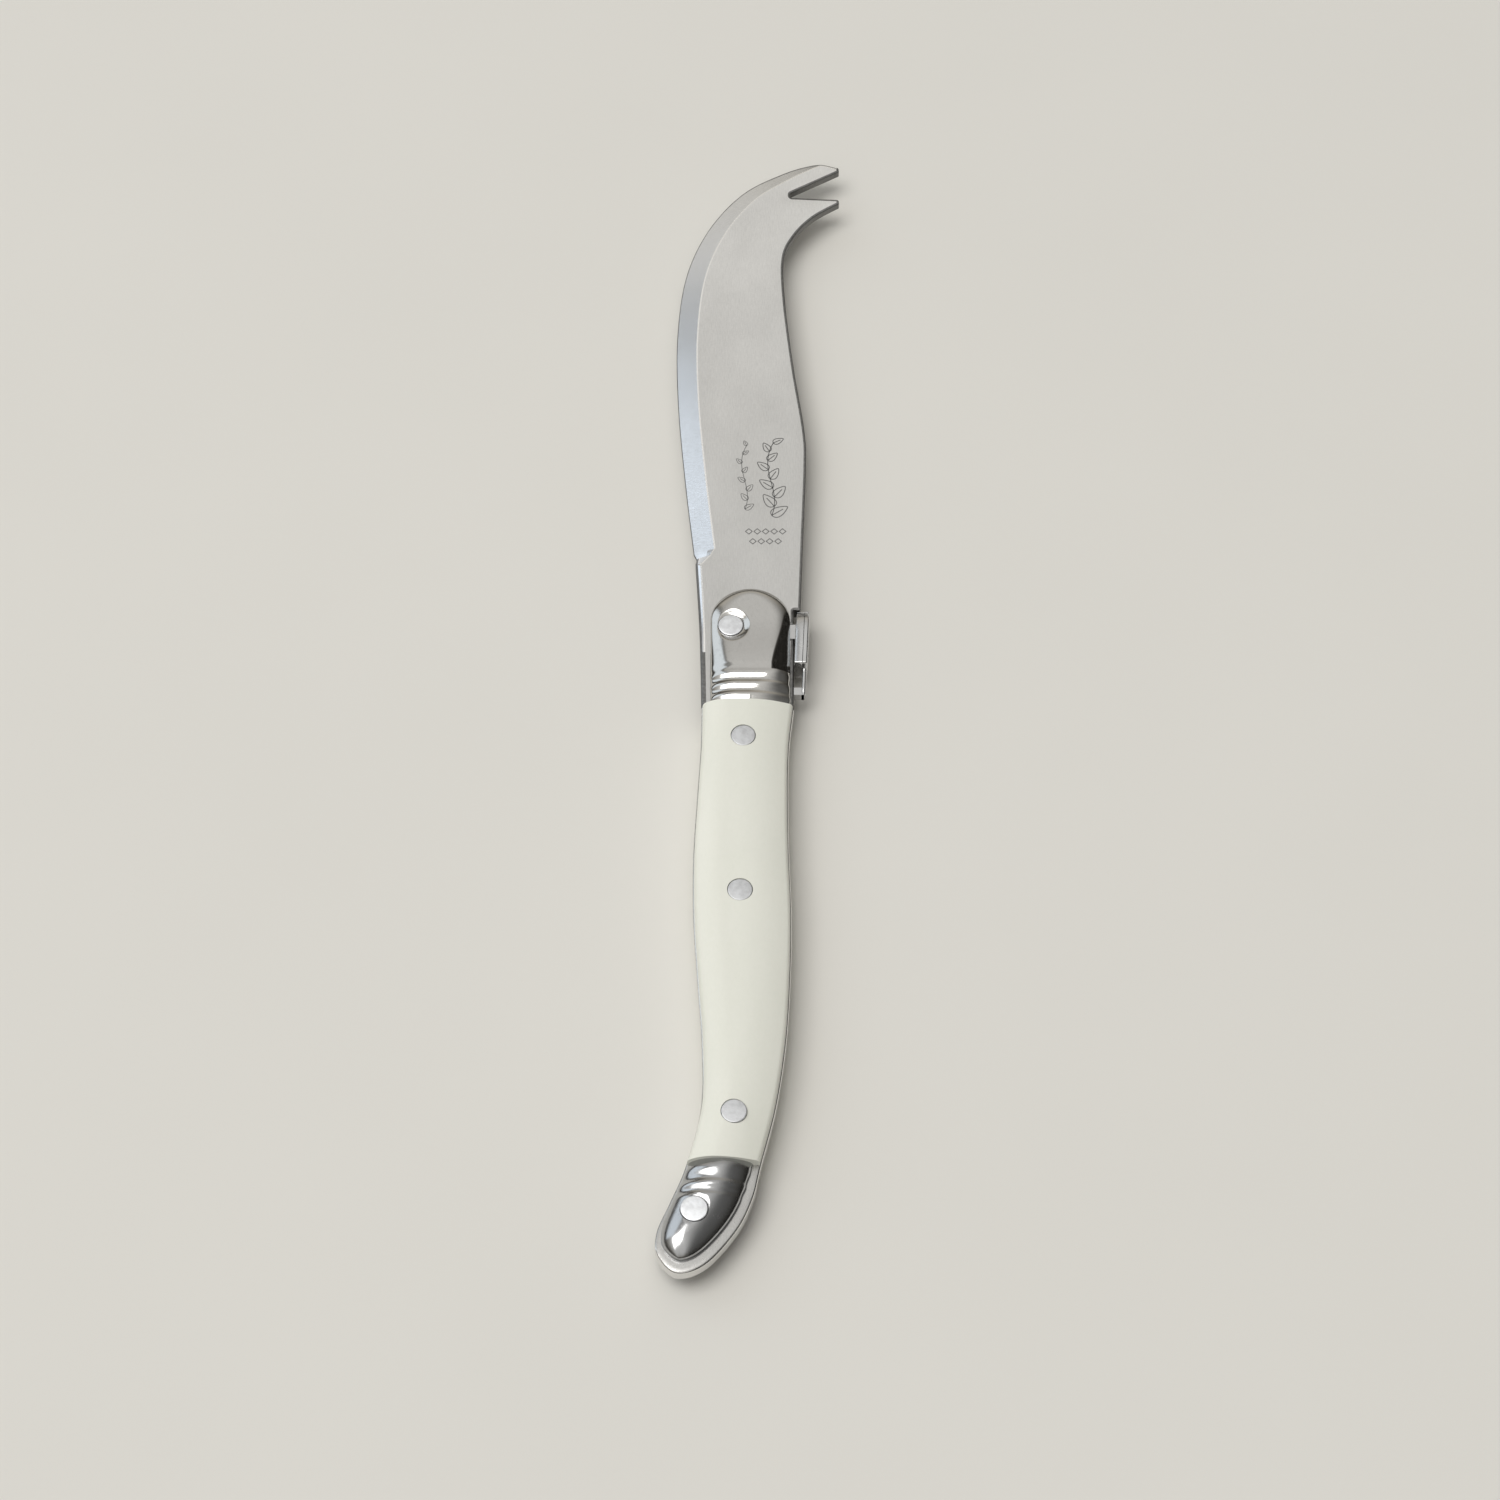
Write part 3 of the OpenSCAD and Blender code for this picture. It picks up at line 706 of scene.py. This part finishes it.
wall_h = 1.5            # height of the upright side of scales and the front bolster
foot_gap = 0.1          # little bevel where a piece meets the tang
EDGE_SIDE = (4.6, 2, 0.75)      # shoulder on the edge side: reach, fullness, softness
SPINE_SIDE = (8, 2, 1.0)        # a longer, straighter slope on the spine side
BODY_SIDE = (4.0, 2, 0.6)       # the spine side of the front bolster, past its beads
NOSE_END = (2.4, 2, 0.5)        # its round nose


def shoulder(distance, side):
    """Share of the crown's height at a distance from the side."""
    reach, fullness, softness = side
    return (1 - (1 - np.clip(distance / reach, 0, 1)) ** fullness) ** softness


def upright(distance, tall=wall_h, lip=0.3):
    """Height of an upright side with a rounded top."""
    return tall - lip + lip * np.sqrt(1 - (1 - np.clip(distance / lip, 0, 1)) ** 2)


def crowned(name, y, left, right, height, finish, under=False, across=101):
    """Closed body on a flat base, with height(x, y) above the tang's face."""
    bow = np.sin(np.linspace(-math.pi / 2, math.pi / 2, across))
    x = (left + right)[:, None] / 2 + (right - left)[:, None] / 2 * bow
    grid_y = np.broadcast_to(y[:, None], x.shape)
    z = height(x, grid_y)
    rows = []
    for i in range(len(y)):
        pinch = min(foot_gap, (right[i] - left[i]) / 3)
        rows += [(left[i] + pinch, y[i], 0), (left[i], y[i], foot_gap)]
        rows += [(x[i, k], y[i], z[i, k]) for k in range(across)]
        rows += [(right[i], y[i], foot_gap), (right[i] - pinch, y[i], 0)]
    faces = skin(len(y), across + 4)
    points = np.array(rows, float)
    points[:, 2] += face_z
    if under:
        points[:, 2] = 2 * mid_z - points[:, 2]
    piece = make_mesh(name, points, faces, [finish])
    face_outwards(piece.data, 35)
    return piece


scale_inset = 0.25


def scale(name, under):
    y = np.linspace(seam_y, rear_y, 160)
    left, right = side_x(tang_edge, y) + scale_inset, side_x(tang_spine, y) - scale_inset

    def height(x, grid_y):
        from_left = x - (side_x(tang_edge, grid_y) + scale_inset)
        from_right = side_x(tang_spine, grid_y) - scale_inset - x
        crown = np.minimum(shoulder(from_left, EDGE_SIDE), shoulder(from_right, SPINE_SIDE))
        return upright(np.minimum(from_left, from_right), wall_h, 0.6) + (scale_h - wall_h) * crown

    return crowned(name, y, left, right, height, ivory, under)


bead_w = 2.25
groove_d = 0.3
groove_side = 0.4       # share of a groove's depth that shows in the outline
front_beads = 3
first_groove = 0.3      # how deep the groove in front of the beads is, share of the others
pin_sink = 0.25         # how far the pins stand above the floors of their dishes
dish_gap = 0.1          # between a pin and the start of its dish's hollow side
nose_h = 2.75           # thickness of the front bolster near its nose
relief_slope = math.tan(math.radians(42))
relief_turn = math.tan(math.radians(5.2))
relief_low_h = 0.37
relief_run = 0.35       # how far the relief runs into the first bead
relief_end_h = 6        # and the steep end of its cut
relief_end_l = 0.5
nose_wall_h = 0.7
dish_r = 3.2
dish_depth = 0.45
nose_start = seam_y + front_l - nose_r


def groove(run, width):
    """Depth of the grooves between beads of a width, at a distance along them."""
    return groove_d * np.abs(np.cos(np.pi * run / width)) ** 2


def dished(z, x, y, pin, floor_h):
    """Cuts a round dish with a hollow side about a pin."""
    centre_x, centre_y, pin_r = pin
    inner = pin_r + dish_gap
    out = (np.hypot(x - centre_x, y - centre_y) - inner) / (dish_r - inner)
    hollow = floor_h + dish_depth * np.where(out > 0, np.clip(out, 0, None) ** 1.25, 0)
    return np.minimum(z, hollow)


def reach_to(line, x, y):
    """Distance from places to the nearest point of an open run."""
    nearest = np.full(x.shape, np.inf)
    for (ax, ay), (bx, by) in zip(line[:-1], line[1:]):
        run_x, run_y = bx - ax, by - ay
        share = np.clip(((x - ax) * run_x + (y - ay) * run_y) / (run_x**2 + run_y**2), 0, 1)
        nearest = np.minimum(nearest, np.hypot(x - ax - share * run_x, y - ay - share * run_y))
    return nearest


def pin_place(node):
    low, high = box_mm(node)
    return (low[0] + high[0]) / 2, (low[1] + high[1]) / 2, (high[0] - low[0]) / 2


def front_bolster(name, under):
    beads_l = front_beads * bead_w
    turns = np.radians(np.linspace(89.5, 0, 44))
    nose = nose_start + nose_r * np.sin(turns)
    y = np.concatenate([nose, np.linspace(nose_start, seam_y + beads_l, 50)[1:],
                        np.linspace(seam_y + beads_l, seam_y, 73)[1:]])
    scallop = np.where(y < seam_y + beads_l - bead_w / 2, groove_side * groove(y - seam_y, bead_w), 0)
    half = np.sqrt(np.maximum(nose_r**2 - np.maximum(y - nose_start, 0) ** 2, 0)) - scallop
    floor_h = box_mm("front_bolster_rivet")[1][2] - face_z - pin_sink
    pin = pin_place("front_bolster_rivet")

    def height(x, grid_y):
        across, along = x - nose_x, grid_y - seam_y
        past = np.maximum(grid_y - nose_start, 0)
        reach = np.hypot(across, past)
        carved = np.where(along < beads_l + bead_w / 2, groove(along, bead_w), 0)
        carved = carved * np.where(along > beads_l - bead_w / 2, first_groove, 1)
        distance = nose_r - groove_side * carved - reach
        share = np.clip(across / np.maximum(reach, 1e-6), 0, 1)
        ahead = (past / np.maximum(reach, 1e-6)) ** 2
        body = eased(along / beads_l)
        shape = [e + (s + (b - s) * body - e) * share
                 for e, s, b in zip(EDGE_SIDE, SPINE_SIDE, BODY_SIDE)]
        shape = [a + (n - a) * ahead for a, n in zip(shape, NOSE_END)]
        crown = shoulder(distance, shape)
        wall = wall_h + (nose_wall_h - wall_h) * ahead
        past_beads = (along - beads_l) / (nose_start - seam_y - beads_l)
        top = scale_h - (scale_h - nose_h) * eased(past_beads)
        z = upright(distance, wall) + (top - wall) * crown - carved * crown**0.5
        plane = relief_low_h + (nose_x + nose_r - x + (along - beads_l) * relief_turn) * relief_slope
        into_bead = np.clip((beads_l - relief_run - along) / relief_end_l, 0, 1)
        plane = plane + relief_end_h * into_bead**0.7
        z = np.where(along > beads_l - relief_run - relief_end_l, np.minimum(z, plane), z)
        return dished(np.maximum(z, foot_gap), x, grid_y, pin, floor_h)

    return crowned(name, y, nose_x - half, nose_x + half, height, bolster_polish, under, 141)


end_band_w = 3.2
end_insets = (0.4, 1.2, 1.8)    # bare tang on the edge side, the spine side and the butt
pulls = (2, 0.6)                # how late the bare border widens, on either side
DOME_EDGE = (6.6, 2.0, 0.6)     # shoulders of the dome: reach, fullness, softness
DOME_SPINE = (7.6, 2.0, 0.65)
dome_wall_h = 0.5


def end_bolster(name, under):
    run = around[rear_i:2 * butt_i - rear_i + 1]
    steps = np.abs(np.arange(len(run)) - (butt_i - rear_i))
    share = 1 - steps / (butt_i - rear_i)
    on_edge = np.arange(len(run)) < butt_i - rear_i
    side = np.where(on_edge, end_insets[0], end_insets[1])
    pull = share ** np.where(on_edge, pulls[0], pulls[1])
    line = run - inward(run) * (side + (end_insets[2] - side) * pull)[:, None]
    for _ in range(25):
        line[1:-1] = (line[:-2] + 2 * line[1:-1] + line[2:]) / 4
    low = int(np.argmin(line[:, 1]))
    edge, spine = line[:low + 1], line[:low - 1:-1]
    dome_y = rear_y - end_band_w - bead_w
    dome_l = dome_y - line[low][1]
    turns = np.radians(np.linspace(0, 89.5, 70))[1:]
    y = np.concatenate([np.linspace(rear_y, rear_y - end_band_w, 40),
                        np.linspace(rear_y - end_band_w, dome_y, 40)[1:],
                        dome_y - dome_l * np.sin(turns)])
    run_down = rear_y - y

    def carve(down):
        band = np.where(down < end_band_w, groove(down, end_band_w),
                        groove(down - end_band_w, bead_w))
        return np.where(down < end_band_w + 1.5 * bead_w, band, 0)

    left = side_x(edge, y) + groove_side * carve(run_down)
    right = side_x(spine, y) - groove_side * carve(run_down)
    floor_h = box_mm("end_bolster_rivet")[1][2] - face_z - pin_sink
    pin = pin_place("end_bolster_rivet")
    edge_side, spine_side = line[:low + 1], line[low:]

    def height(x, grid_y):
        carved = carve(rear_y - grid_y)
        near = [np.maximum(reach_to(side, x, grid_y) - groove_side * carved, 1e-4)
                for side in (edge_side, spine_side)]
        pull_edge, pull_spine = near[0] ** -3, near[1] ** -3
        distance = (pull_edge + pull_spine) ** (-1 / 3)
        share = pull_spine / (pull_edge + pull_spine)
        blend = [a + (b - a) * share for a, b in zip(DOME_EDGE, DOME_SPINE)]
        crown = shoulder(distance, blend)
        z = upright(distance, dome_wall_h) + (scale_h - dome_wall_h) * crown - carved * crown**0.5
        return dished(z, x, grid_y, pin, floor_h)

    return crowned(name, y, left, right, height, end_polish, under, 121)


# Geometry Nodes pieces ------------------------------------------------------


class Grower(Tree):
    """A Geometry Nodes tree with named inputs, applied to a new piece."""

    def __init__(self, name, **sizes):
        group = bpy.data.node_groups.new(name, "GeometryNodeTree")
        super().__init__(group)
        group.interface.new_socket("Geometry", in_out="OUTPUT", socket_type="NodeSocketGeometry")
        self.sizes = {}
        for label, value in sizes.items():
            kind = {int: "Int", tuple: "Vector"}.get(type(value), "Float")
            if isinstance(value, bpy.types.Material):
                kind = "Material"
            made = group.interface.new_socket(label, in_out="INPUT",
                                              socket_type="NodeSocket" + kind)
            self.sizes[label] = (made.identifier, value)
        self.source = group.nodes.new("NodeGroupInput")
        self.sink = group.nodes.new("NodeGroupOutput")

    def given(self, label):
        return Wire(self, self.source.outputs[label])

    def end(self, geometry):
        """Realizes the instances, sets the material and joins it to the output."""
        real = self.node("GeometryNodeRealizeInstances", {}, {"Geometry": geometry})
        shaded = self.node("GeometryNodeSetMaterial", {}, {
            "Geometry": real, "Material": self.given("Finish")})
        self.tree.links.new(shaded.socket, self.sink.inputs["Geometry"])

    def grow(self, name, **changes):
        """A plain mesh piece from this tree, with some inputs changed."""
        start = bpy.data.objects.new(name, bpy.data.meshes.new(name + "_start"))
        bpy.context.scene.collection.objects.link(start)
        modifier = start.modifiers.new("grow", "NODES")
        modifier.node_group = self.tree
        for label, (identifier, value) in self.sizes.items():
            modifier[identifier] = changes.get(label, value)
        evaluated = start.evaluated_get(bpy.context.evaluated_depsgraph_get())
        mesh = bpy.data.meshes.new_from_object(evaluated)
        start.modifiers.clear()
        spare, start.data = start.data, mesh
        mesh.name = name
        bpy.data.meshes.remove(spare)
        tidy_mesh(mesh, 30)
        return start


def vector(tree, x, y, z):
    return tree.node("ShaderNodeCombineXYZ", {}, {"X": x, "Y": y, "Z": z})


def pin_grower(finish):
    """A pin turned from a square grid: round in plan, with softened rims and a faint crown."""
    pin = Grower("pin", Radius=0.0021, Half_length=0.00465, Crown=0.00006, Rim=0.05,
                 Centre=(0.0, 0.0, 0.0), Finish=finish)
    grid = pin.node("GeometryNodeMeshGrid", {}, {
        "Size X": 1.0, "Size Y": 1.0, "Vertices X": 97, "Vertices Y": 61}, "Mesh")
    place = pin.node("GeometryNodeInputPosition")
    across = pin.node("ShaderNodeSeparateXYZ", {}, {0: place})
    turn = across * (2 * math.pi)
    climb = across.out("Y") * math.pi
    upright_share = climb.sine()
    reach = climb.cosine().at_least(0.0) ** pin.given("Rim")
    height = (abs(upright_share) ** pin.given("Rim")) * upright_share.sign()
    radius = reach * pin.given("Radius")
    crown = (1 - reach * reach) * pin.given("Crown") * upright_share.sign()
    spot = vector(pin, radius * turn.cosine(), radius * turn.sine(),
                  height * pin.given("Half_length") + crown)
    moved = pin.node("ShaderNodeVectorMath", {"operation": "ADD"},
                     {0: spot, 1: pin.given("Centre")})
    turned = pin.node("GeometryNodeSetPosition", {}, {"Geometry": grid, "Position": moved})
    closed = pin.node("GeometryNodeMergeByDistance", {},
                      {"Geometry": turned, "Distance": 1e-7})
    pin.end(closed)
    return pin


def rivet(name, grower):
    """The pin that stands for a CAD rivet, of the same length and diameter."""
    low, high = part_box(name)
    centre = (low + high) / 2
    crown = 0.00006
    return grower.grow(name + "_turned", Radius=(high.x - low.x) / 2, Centre=tuple(centre),
                       Crown=crown, Half_length=(high.z - low.z) / 2 - crown)


def sprig_grower():
    """A leafy sprig drawn in fine raised lines."""
    sprig = Grower("sprig", Length=0.0165, Leaves=9, Leaf=0.0034, Line=0.00016, Depth=0.00003,
                   Root=(0.0, 0.0, 0.0), Finish=etched_line)
    root = sprig.given("Root")
    length = sprig.given("Length")

    def beside(x, y):
        return sprig.node("ShaderNodeVectorMath", {"operation": "ADD"},
                          {0: root, 1: vector(sprig, x, y, 0.0)})

    stem = sprig.node("GeometryNodeCurvePrimitiveBezierSegment", {"mode": "POSITION"}, {
        "Resolution": 48, "Start": root, "Start Handle": beside(length * 0.12, length * 0.35),
        "End Handle": beside(length * -0.16, length * 0.62), "End": beside(length * 0.02, length)})
    stroke = sprig.node("GeometryNodeCurvePrimitiveQuadrilateral", {"mode": "RECTANGLE"}, {
        "Width": sprig.given("Line"), "Height": sprig.given("Depth")})
    circle = sprig.node("GeometryNodeCurvePrimitiveCircle", {"mode": "RADIUS"},
                        {"Resolution": 28, "Radius": 1.0})
    around_leaf = sprig.node("ShaderNodeSeparateXYZ", {}, {0: sprig.node("GeometryNodeInputPosition")})
    along = (1 + around_leaf) * 0.5
    bulge = around_leaf.out("Y") * (1.15 - along * 0.75) * 0.36
    leaf_line = sprig.node("GeometryNodeSetPosition", {}, {
        "Geometry": circle, "Position": vector(sprig, along, bulge, 0.0)})
    vein = sprig.node("GeometryNodeCurvePrimitiveLine", {"mode": "POINTS"}, {
        "Start": (0.0, 0.0, 0.0), "End": (0.72, 0.0, 0.0)})
    outline = sprig.node("GeometryNodeJoinGeometry")
    for part in (leaf_line, vein):
        sprig.tree.links.new(part.socket, outline.socket.node.inputs[0])
    leaf_size = sprig.given("Leaf")
    leaf = sprig.node("GeometryNodeTransform", {}, {
        "Geometry": outline, "Scale": vector(sprig, leaf_size, leaf_size, leaf_size)})
    stops = sprig.node("GeometryNodeResampleCurve", {}, {
        "Curve": stem, "Count": sprig.given("Leaves")})
    number = sprig.node("GeometryNodeInputIndex")
    side = (number % 2) * 2 - 1
    share = number / sprig.given("Leaves")
    tangent = sprig.node("GeometryNodeInputTangent")
    ahead = sprig.node("FunctionNodeAlignRotationToVector", {"axis": "X"}, {"Vector": tangent})
    spin = sprig.node("FunctionNodeRotateRotation", {"rotation_space": "LOCAL"}, {
        "Rotation": ahead, "Rotate By": sprig.node("FunctionNodeEulerToRotation", {}, {
            "Euler": vector(sprig, 0.0, 0.0, side * 0.75)})})
    size = 1 - share * 0.45
    leaves = sprig.node("GeometryNodeInstanceOnPoints", {}, {
        "Points": stops, "Instance": leaf, "Rotation": spin,
        "Scale": vector(sprig, size, size, size)})
    lines = sprig.node("GeometryNodeJoinGeometry")
    for part in (stem, sprig.node("GeometryNodeRealizeInstances", {}, {"Geometry": leaves})):
        sprig.tree.links.new(part.socket, lines.socket.node.inputs[0])
    drawn = sprig.node("GeometryNodeCurveToMesh", {}, {
        "Curve": lines, "Profile Curve": stroke, "Fill Caps": True})
    sprig.end(drawn)
    return sprig


def lozenge_grower():
    """A row of small etched lozenges."""
    row = Grower("lozenges", Count=5, Pitch=0.0015, Size=0.0012, Line=0.0002, Depth=0.00003,
                 Root=(0.0, 0.0, 0.0), Finish=etched_line)
    diamond = row.node("GeometryNodeCurvePrimitiveCircle", {"mode": "RADIUS"},
                       {"Resolution": 4, "Radius": row.given("Size") * 0.5})
    stroke = row.node("GeometryNodeCurvePrimitiveQuadrilateral", {"mode": "RECTANGLE"}, {
        "Width": row.given("Line"), "Height": row.given("Depth")})
    drawn = row.node("GeometryNodeCurveToMesh", {}, {
        "Curve": diamond, "Profile Curve": stroke, "Fill Caps": True})
    step = vector(row, row.given("Pitch"), 0.0, 0.0)
    places = row.node("GeometryNodeMeshLine", {"mode": "OFFSET"}, {
        "Count": row.given("Count"), "Start Location": row.given("Root"), "Offset": step})
    row.end(row.node("GeometryNodeInstanceOnPoints", {}, {"Points": places, "Instance": drawn}))
    return row


# Ornament -------------------------------------------------------------------

orn_thick = 2.4         # thickness of the ornament at its head
orn_tail_thick = 0.9
orn_plate = 0.85        # outer layer, with a fine seam round the head's edge
seam_sink = 0.2
orn_tail_half = 1.1
orn_nose = 0.3          # length of the rounded nose, share of the length
orn_knee = 0.67         # where the head ends
orn_step = 0.03
orn_waist = 0.12        # how much the head narrows to its knee
orn_lean = 0.045        # how far it leans towards the spine on the way down
rim_r = 0.3             # rounding of the outer edge
face_bulge = 0.12
flute_depth = 0.3
flute_half = 0.62
flute_at = 0.22         # distance of each flute from the middle, share of the head's width
orn_foot_l = 3
orn_pad_l = 1.5


def narrow_at(share):
    """How far the head has become the tail at a share of the length."""
    return eased((share - orn_knee) / orn_step)


def ornament(name):
    """A plain fluted shield on its edge beside the spine, with a narrow tail and a foot."""
    low, high = ornament_low, ornament_high
    length = high[1] - low[1]
    inner_x = high[0] - orn_thick
    head = (high[2] - low[2]) / 2
    along = np.concatenate([
        np.linspace(0, 0.06, 14), np.linspace(0.06, orn_knee, 46)[1:],
        np.linspace(orn_knee, orn_knee + orn_step, 10)[1:], np.linspace(orn_knee + orn_step, 1, 20)[1:]])
    front = np.sqrt(np.clip(1 - (1 - np.clip(along / orn_nose, 0, 1)) ** 2.4, 0, 1)) * head
    front = np.maximum(front, 0.3 * head)
    narrow = narrow_at(along)
    waist = 1 - orn_waist * eased((along - orn_nose) / (orn_knee - orn_nose))
    tail = orn_tail_half * (1 - 0.25 * eased((along - 0.9) / 0.1))
    half = front * waist * (1 - narrow) + narrow * tail
    across = 61
    bow = np.sin(np.linspace(-math.pi / 2, math.pi / 2, across))
    rows = []
    for share, wide, thin in zip(along, half, narrow):
        z = bow * wide
        rim_gap = np.minimum(wide - np.abs(z), min(share, 1 - share) * length + 0.05)
        edge = np.sqrt(1 - (1 - np.clip(rim_gap / rim_r, 0, 1)) ** 2)
        flutes = flute_depth * np.clip(1 - ((np.abs(z) - flute_at * 2 * head) / flute_half) ** 2, 0, 1)
        flutes = flutes * (1 - eased((share - orn_knee + 0.1) / 0.08)) * eased((share - 0.03) / 0.06)
        outer = orn_thick - face_bulge * (1 + thin)
        x = outer - rim_r + rim_r * edge + face_bulge * (1 - (z / wide) ** 2) - flutes
        base = (orn_thick - orn_tail_thick) * thin
        seam = max(outer - orn_plate, base + 0.22)
        edge_side = [(base, wide - 0.25), (base + 0.06, wide - 0.07), (base + 0.16, wide),
                     (seam - 0.05, wide), (seam, wide - seam_sink * (1 - thin)), (seam + 0.05, wide)]
        face = [(max(a, seam + 0.06), b) for a, b in zip(x, z)]
        loop = [(a, -b) for a, b in edge_side] + face + edge_side[::-1]
        rows += [(a - orn_lean * share * length, high[1] - share * length, b) for a, b in loop]
    faces = skin(len(along), len(loop))
    points = list(np.array(rows) + (inner_x, 0, mid_z))
    foot_y = high[1] - length / 4
    tail_x = orn_thick - orn_tail_thick / 2 - orn_lean * length
    for y_a, y_b, tall, reach, out in (
            (foot_y - orn_foot_l / 2, foot_y + orn_foot_l / 2, stock_t / 2 - 0.1, low[0], 0.5),
            (low[1], low[1] + orn_pad_l, 0.8, tang_spine[0][0], tail_x)):
        first = len(points)
        points += [np.array((x, y, mid_z + z)) for x in (reach, inner_x + out)
                   for y in (y_a, y_b) for z in (-tall, tall)]
        faces += [tuple(first + k for k in quad) for quad in (
            (0, 1, 3, 2), (4, 6, 7, 5), (0, 4, 5, 1), (2, 3, 7, 6), (0, 2, 6, 4), (1, 5, 7, 3))]
    piece = make_mesh(name, points, faces, [ornament_polish], None, 40)
    face_outwards(piece.data, 40)
    return piece


# The knife ------------------------------------------------------------------

pins = ("front_bolster_rivet", "scale_rivet_front", "scale_rivet_middle", "scale_rivet_rear",
        "end_bolster_rivet")
bore_gaps = (0.08, 0.04, 0.04, 0.04, 0.08)      # round each pin
bores = [pin_place(name)[:2] + (pin_place(name)[2] + gap,) for name, gap in zip(pins, bore_gaps)]


def keep(piece, node):
    """The piece stands for a CAD node, which is hidden, and hangs from the root body."""
    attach(piece, "root")
    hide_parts(node)


body = plate("blade_ground")
drill(body, bores, 6)
keep(body, "blade")

for under, side in ((False, "top"), (True, "bottom")):
    piece = front_bolster("front_bolster_" + side + "_polished", under)
    drill(piece, bores[:1])
    keep(piece, "front_bolster_" + side)
    piece = scale("scale_" + side + "_shaped", under)
    drill(piece, bores[1:4])
    keep(piece, "scale_" + side)
    piece = end_bolster("end_bolster_" + side + "_polished", under)
    drill(piece, bores[4:])
    keep(piece, "end_bolster_" + side)

bolster_pins = pin_grower(bolster_pin)
scale_pins = pin_grower(scale_pin)
for name in pins:
    in_bolster = "bolster" in name
    keep(rivet(name, bolster_pins if in_bolster else scale_pins), name)

keep(ornament("spine_ornament_fluted"), "spine_ornament")


etched_lift = 0.000004      # how far the middle of an etched line lies above the face, in metres


def etched(tree, name, x, y, **sizes):
    """Lines on the blade's face, from its middle line and the bolster's nose, in millimetres."""
    root = ((zero_x + x) * MM, (seam_y + front_l + y) * MM, face_z * MM + etched_lift)
    piece = tree.grow(name, Root=root, **sizes)
    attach(piece, "root")


sprig_tree = sprig_grower()
etched(sprig_tree, "etched_sprig", 3.9, 17.2)
etched(sprig_tree, "etched_vine", -0.9, 18.6, Length=0.0145, Leaves=8, Leaf=0.0019, Line=0.00011)
row_tree = lozenge_grower()
for row, (shift, count) in enumerate(((-0.2, 5), (0.5, 4))):
    etched(row_tree, "etched_lozenges_" + str(row + 1), shift, 13.6 - 2.2 * row, Count=count)


# Table, light and camera ----------------------------------------------------


table_half = 6000       # half the side of the table, far past the view


def table():
    """A large plain sheet under the knife."""
    corners = [(x * table_half, y * table_half, 0) for x, y in ((-1, -1), (1, -1), (1, 1), (-1, 1))]
    make_mesh("table", corners, [(0, 1, 2, 3)], [table_paper()])


def lamp(name, direction, distance, size, power, colour):
    """A rectangular softbox that shines at the knife's middle from a direction."""
    light = bpy.data.lights.new(name, "AREA")
    light.shape = "RECTANGLE"
    light.size, light.size_y = size
    light.energy = power
    light.color = colour
    lit = bpy.data.objects.new(name, light)
    bpy.context.scene.collection.objects.link(lit)
    towards = Vector(direction).normalized()
    lit.location = towards * distance
    lit.rotation_euler = towards.to_track_quat("Z", "Y").to_euler()


def room():
    """Bright overhead, dark low down and to the right, with a cool panel at the back left."""
    world = bpy.data.worlds.new("room")
    world.use_nodes = True
    bpy.context.scene.world = world
    tree = Tree(world.node_tree)
    warm_low, daylight, cool_panel = (1.0, 0.93, 0.8, 1), (1.0, 0.985, 0.945, 1), (1.08, 1.16, 1.22, 1)
    way = tree.node("ShaderNodeSeparateXYZ", {}, {0: tree.node("ShaderNodeTexCoord", out="Generated")})
    x, y, up = way, way.out("Y"), way.out("Z")

    def step(value, low, high, to_low=0.0, to_high=1.0):
        return tree.node("ShaderNodeMapRange", {"interpolation_type": "SMOOTHSTEP"}, {
            "Value": value, "From Min": low, "From Max": high, "To Min": to_low, "To Max": to_high})

    behind = step(y, 0.3, 0.7)
    sky = step(up, 0.1, 0.85, 0.05, 0.8)
    sky = sky + (step(up, 0.08, 0.35, 0.1, 0.62) - sky).at_least(0.0) * behind
    sky = sky * step(x, 0.18, 0.6, 1.0, 0.2)
    beside = -0.68 * y - x
    sky = sky * (1 - 0.6 * step(beside, -0.1, -0.05) * step(y, 0.2, 0.4))
    panel = step(beside, 0.0, 0.03) * step(up, 0.2, 0.28) * step(up, 0.72, 0.8, 1.0, 0.0)
    panel = panel * step(y, 0.15, 0.3)
    tint = tree.node("ShaderNodeMix", {"data_type": "RGBA"}, {
        0: step(up, 0.2, 0.75), 6: warm_low, 7: daylight}, 2)
    lit_sky = tree.node("ShaderNodeVectorMath", {"operation": "SCALE"}, {0: tint, "Scale": sky})
    shade = tree.node("ShaderNodeMix", {"data_type": "RGBA"}, {0: panel, 6: lit_sky, 7: cool_panel}, 2)
    back = world.node_tree.nodes["Background"]
    world.node_tree.links.new(shade.socket, back.inputs["Color"])


view_elevation = math.radians(56.5)
view_distance = 0.5983
aim_y = -8.35           # what the camera looks at, from the front seam


def camera():
    """Looks along the knife from beyond its butt and above it."""
    aim = Vector((zero_x, seam_y + aim_y, face_z)) * MM
    view = bpy.data.cameras.new("camera")
    view.lens, view.sensor_width = 84, 36
    view.clip_start, view.clip_end = 0.01, 10
    held = bpy.data.objects.new("camera", view)
    bpy.context.scene.collection.objects.link(held)
    back = Vector((0, -math.cos(view_elevation), math.sin(view_elevation)))
    held.location = aim + back * view_distance
    held.rotation_euler = (math.pi / 2 - view_elevation, 0, 0)
    bpy.context.scene.camera = held


table()
room()
lamp("overhead_softbox", (-0.3, -0.09, 0.95), 2.5, (1.5, 1.87), 29, (1.0, 0.985, 0.955))
camera()
bpy.context.scene.view_settings.view_transform = "Standard"
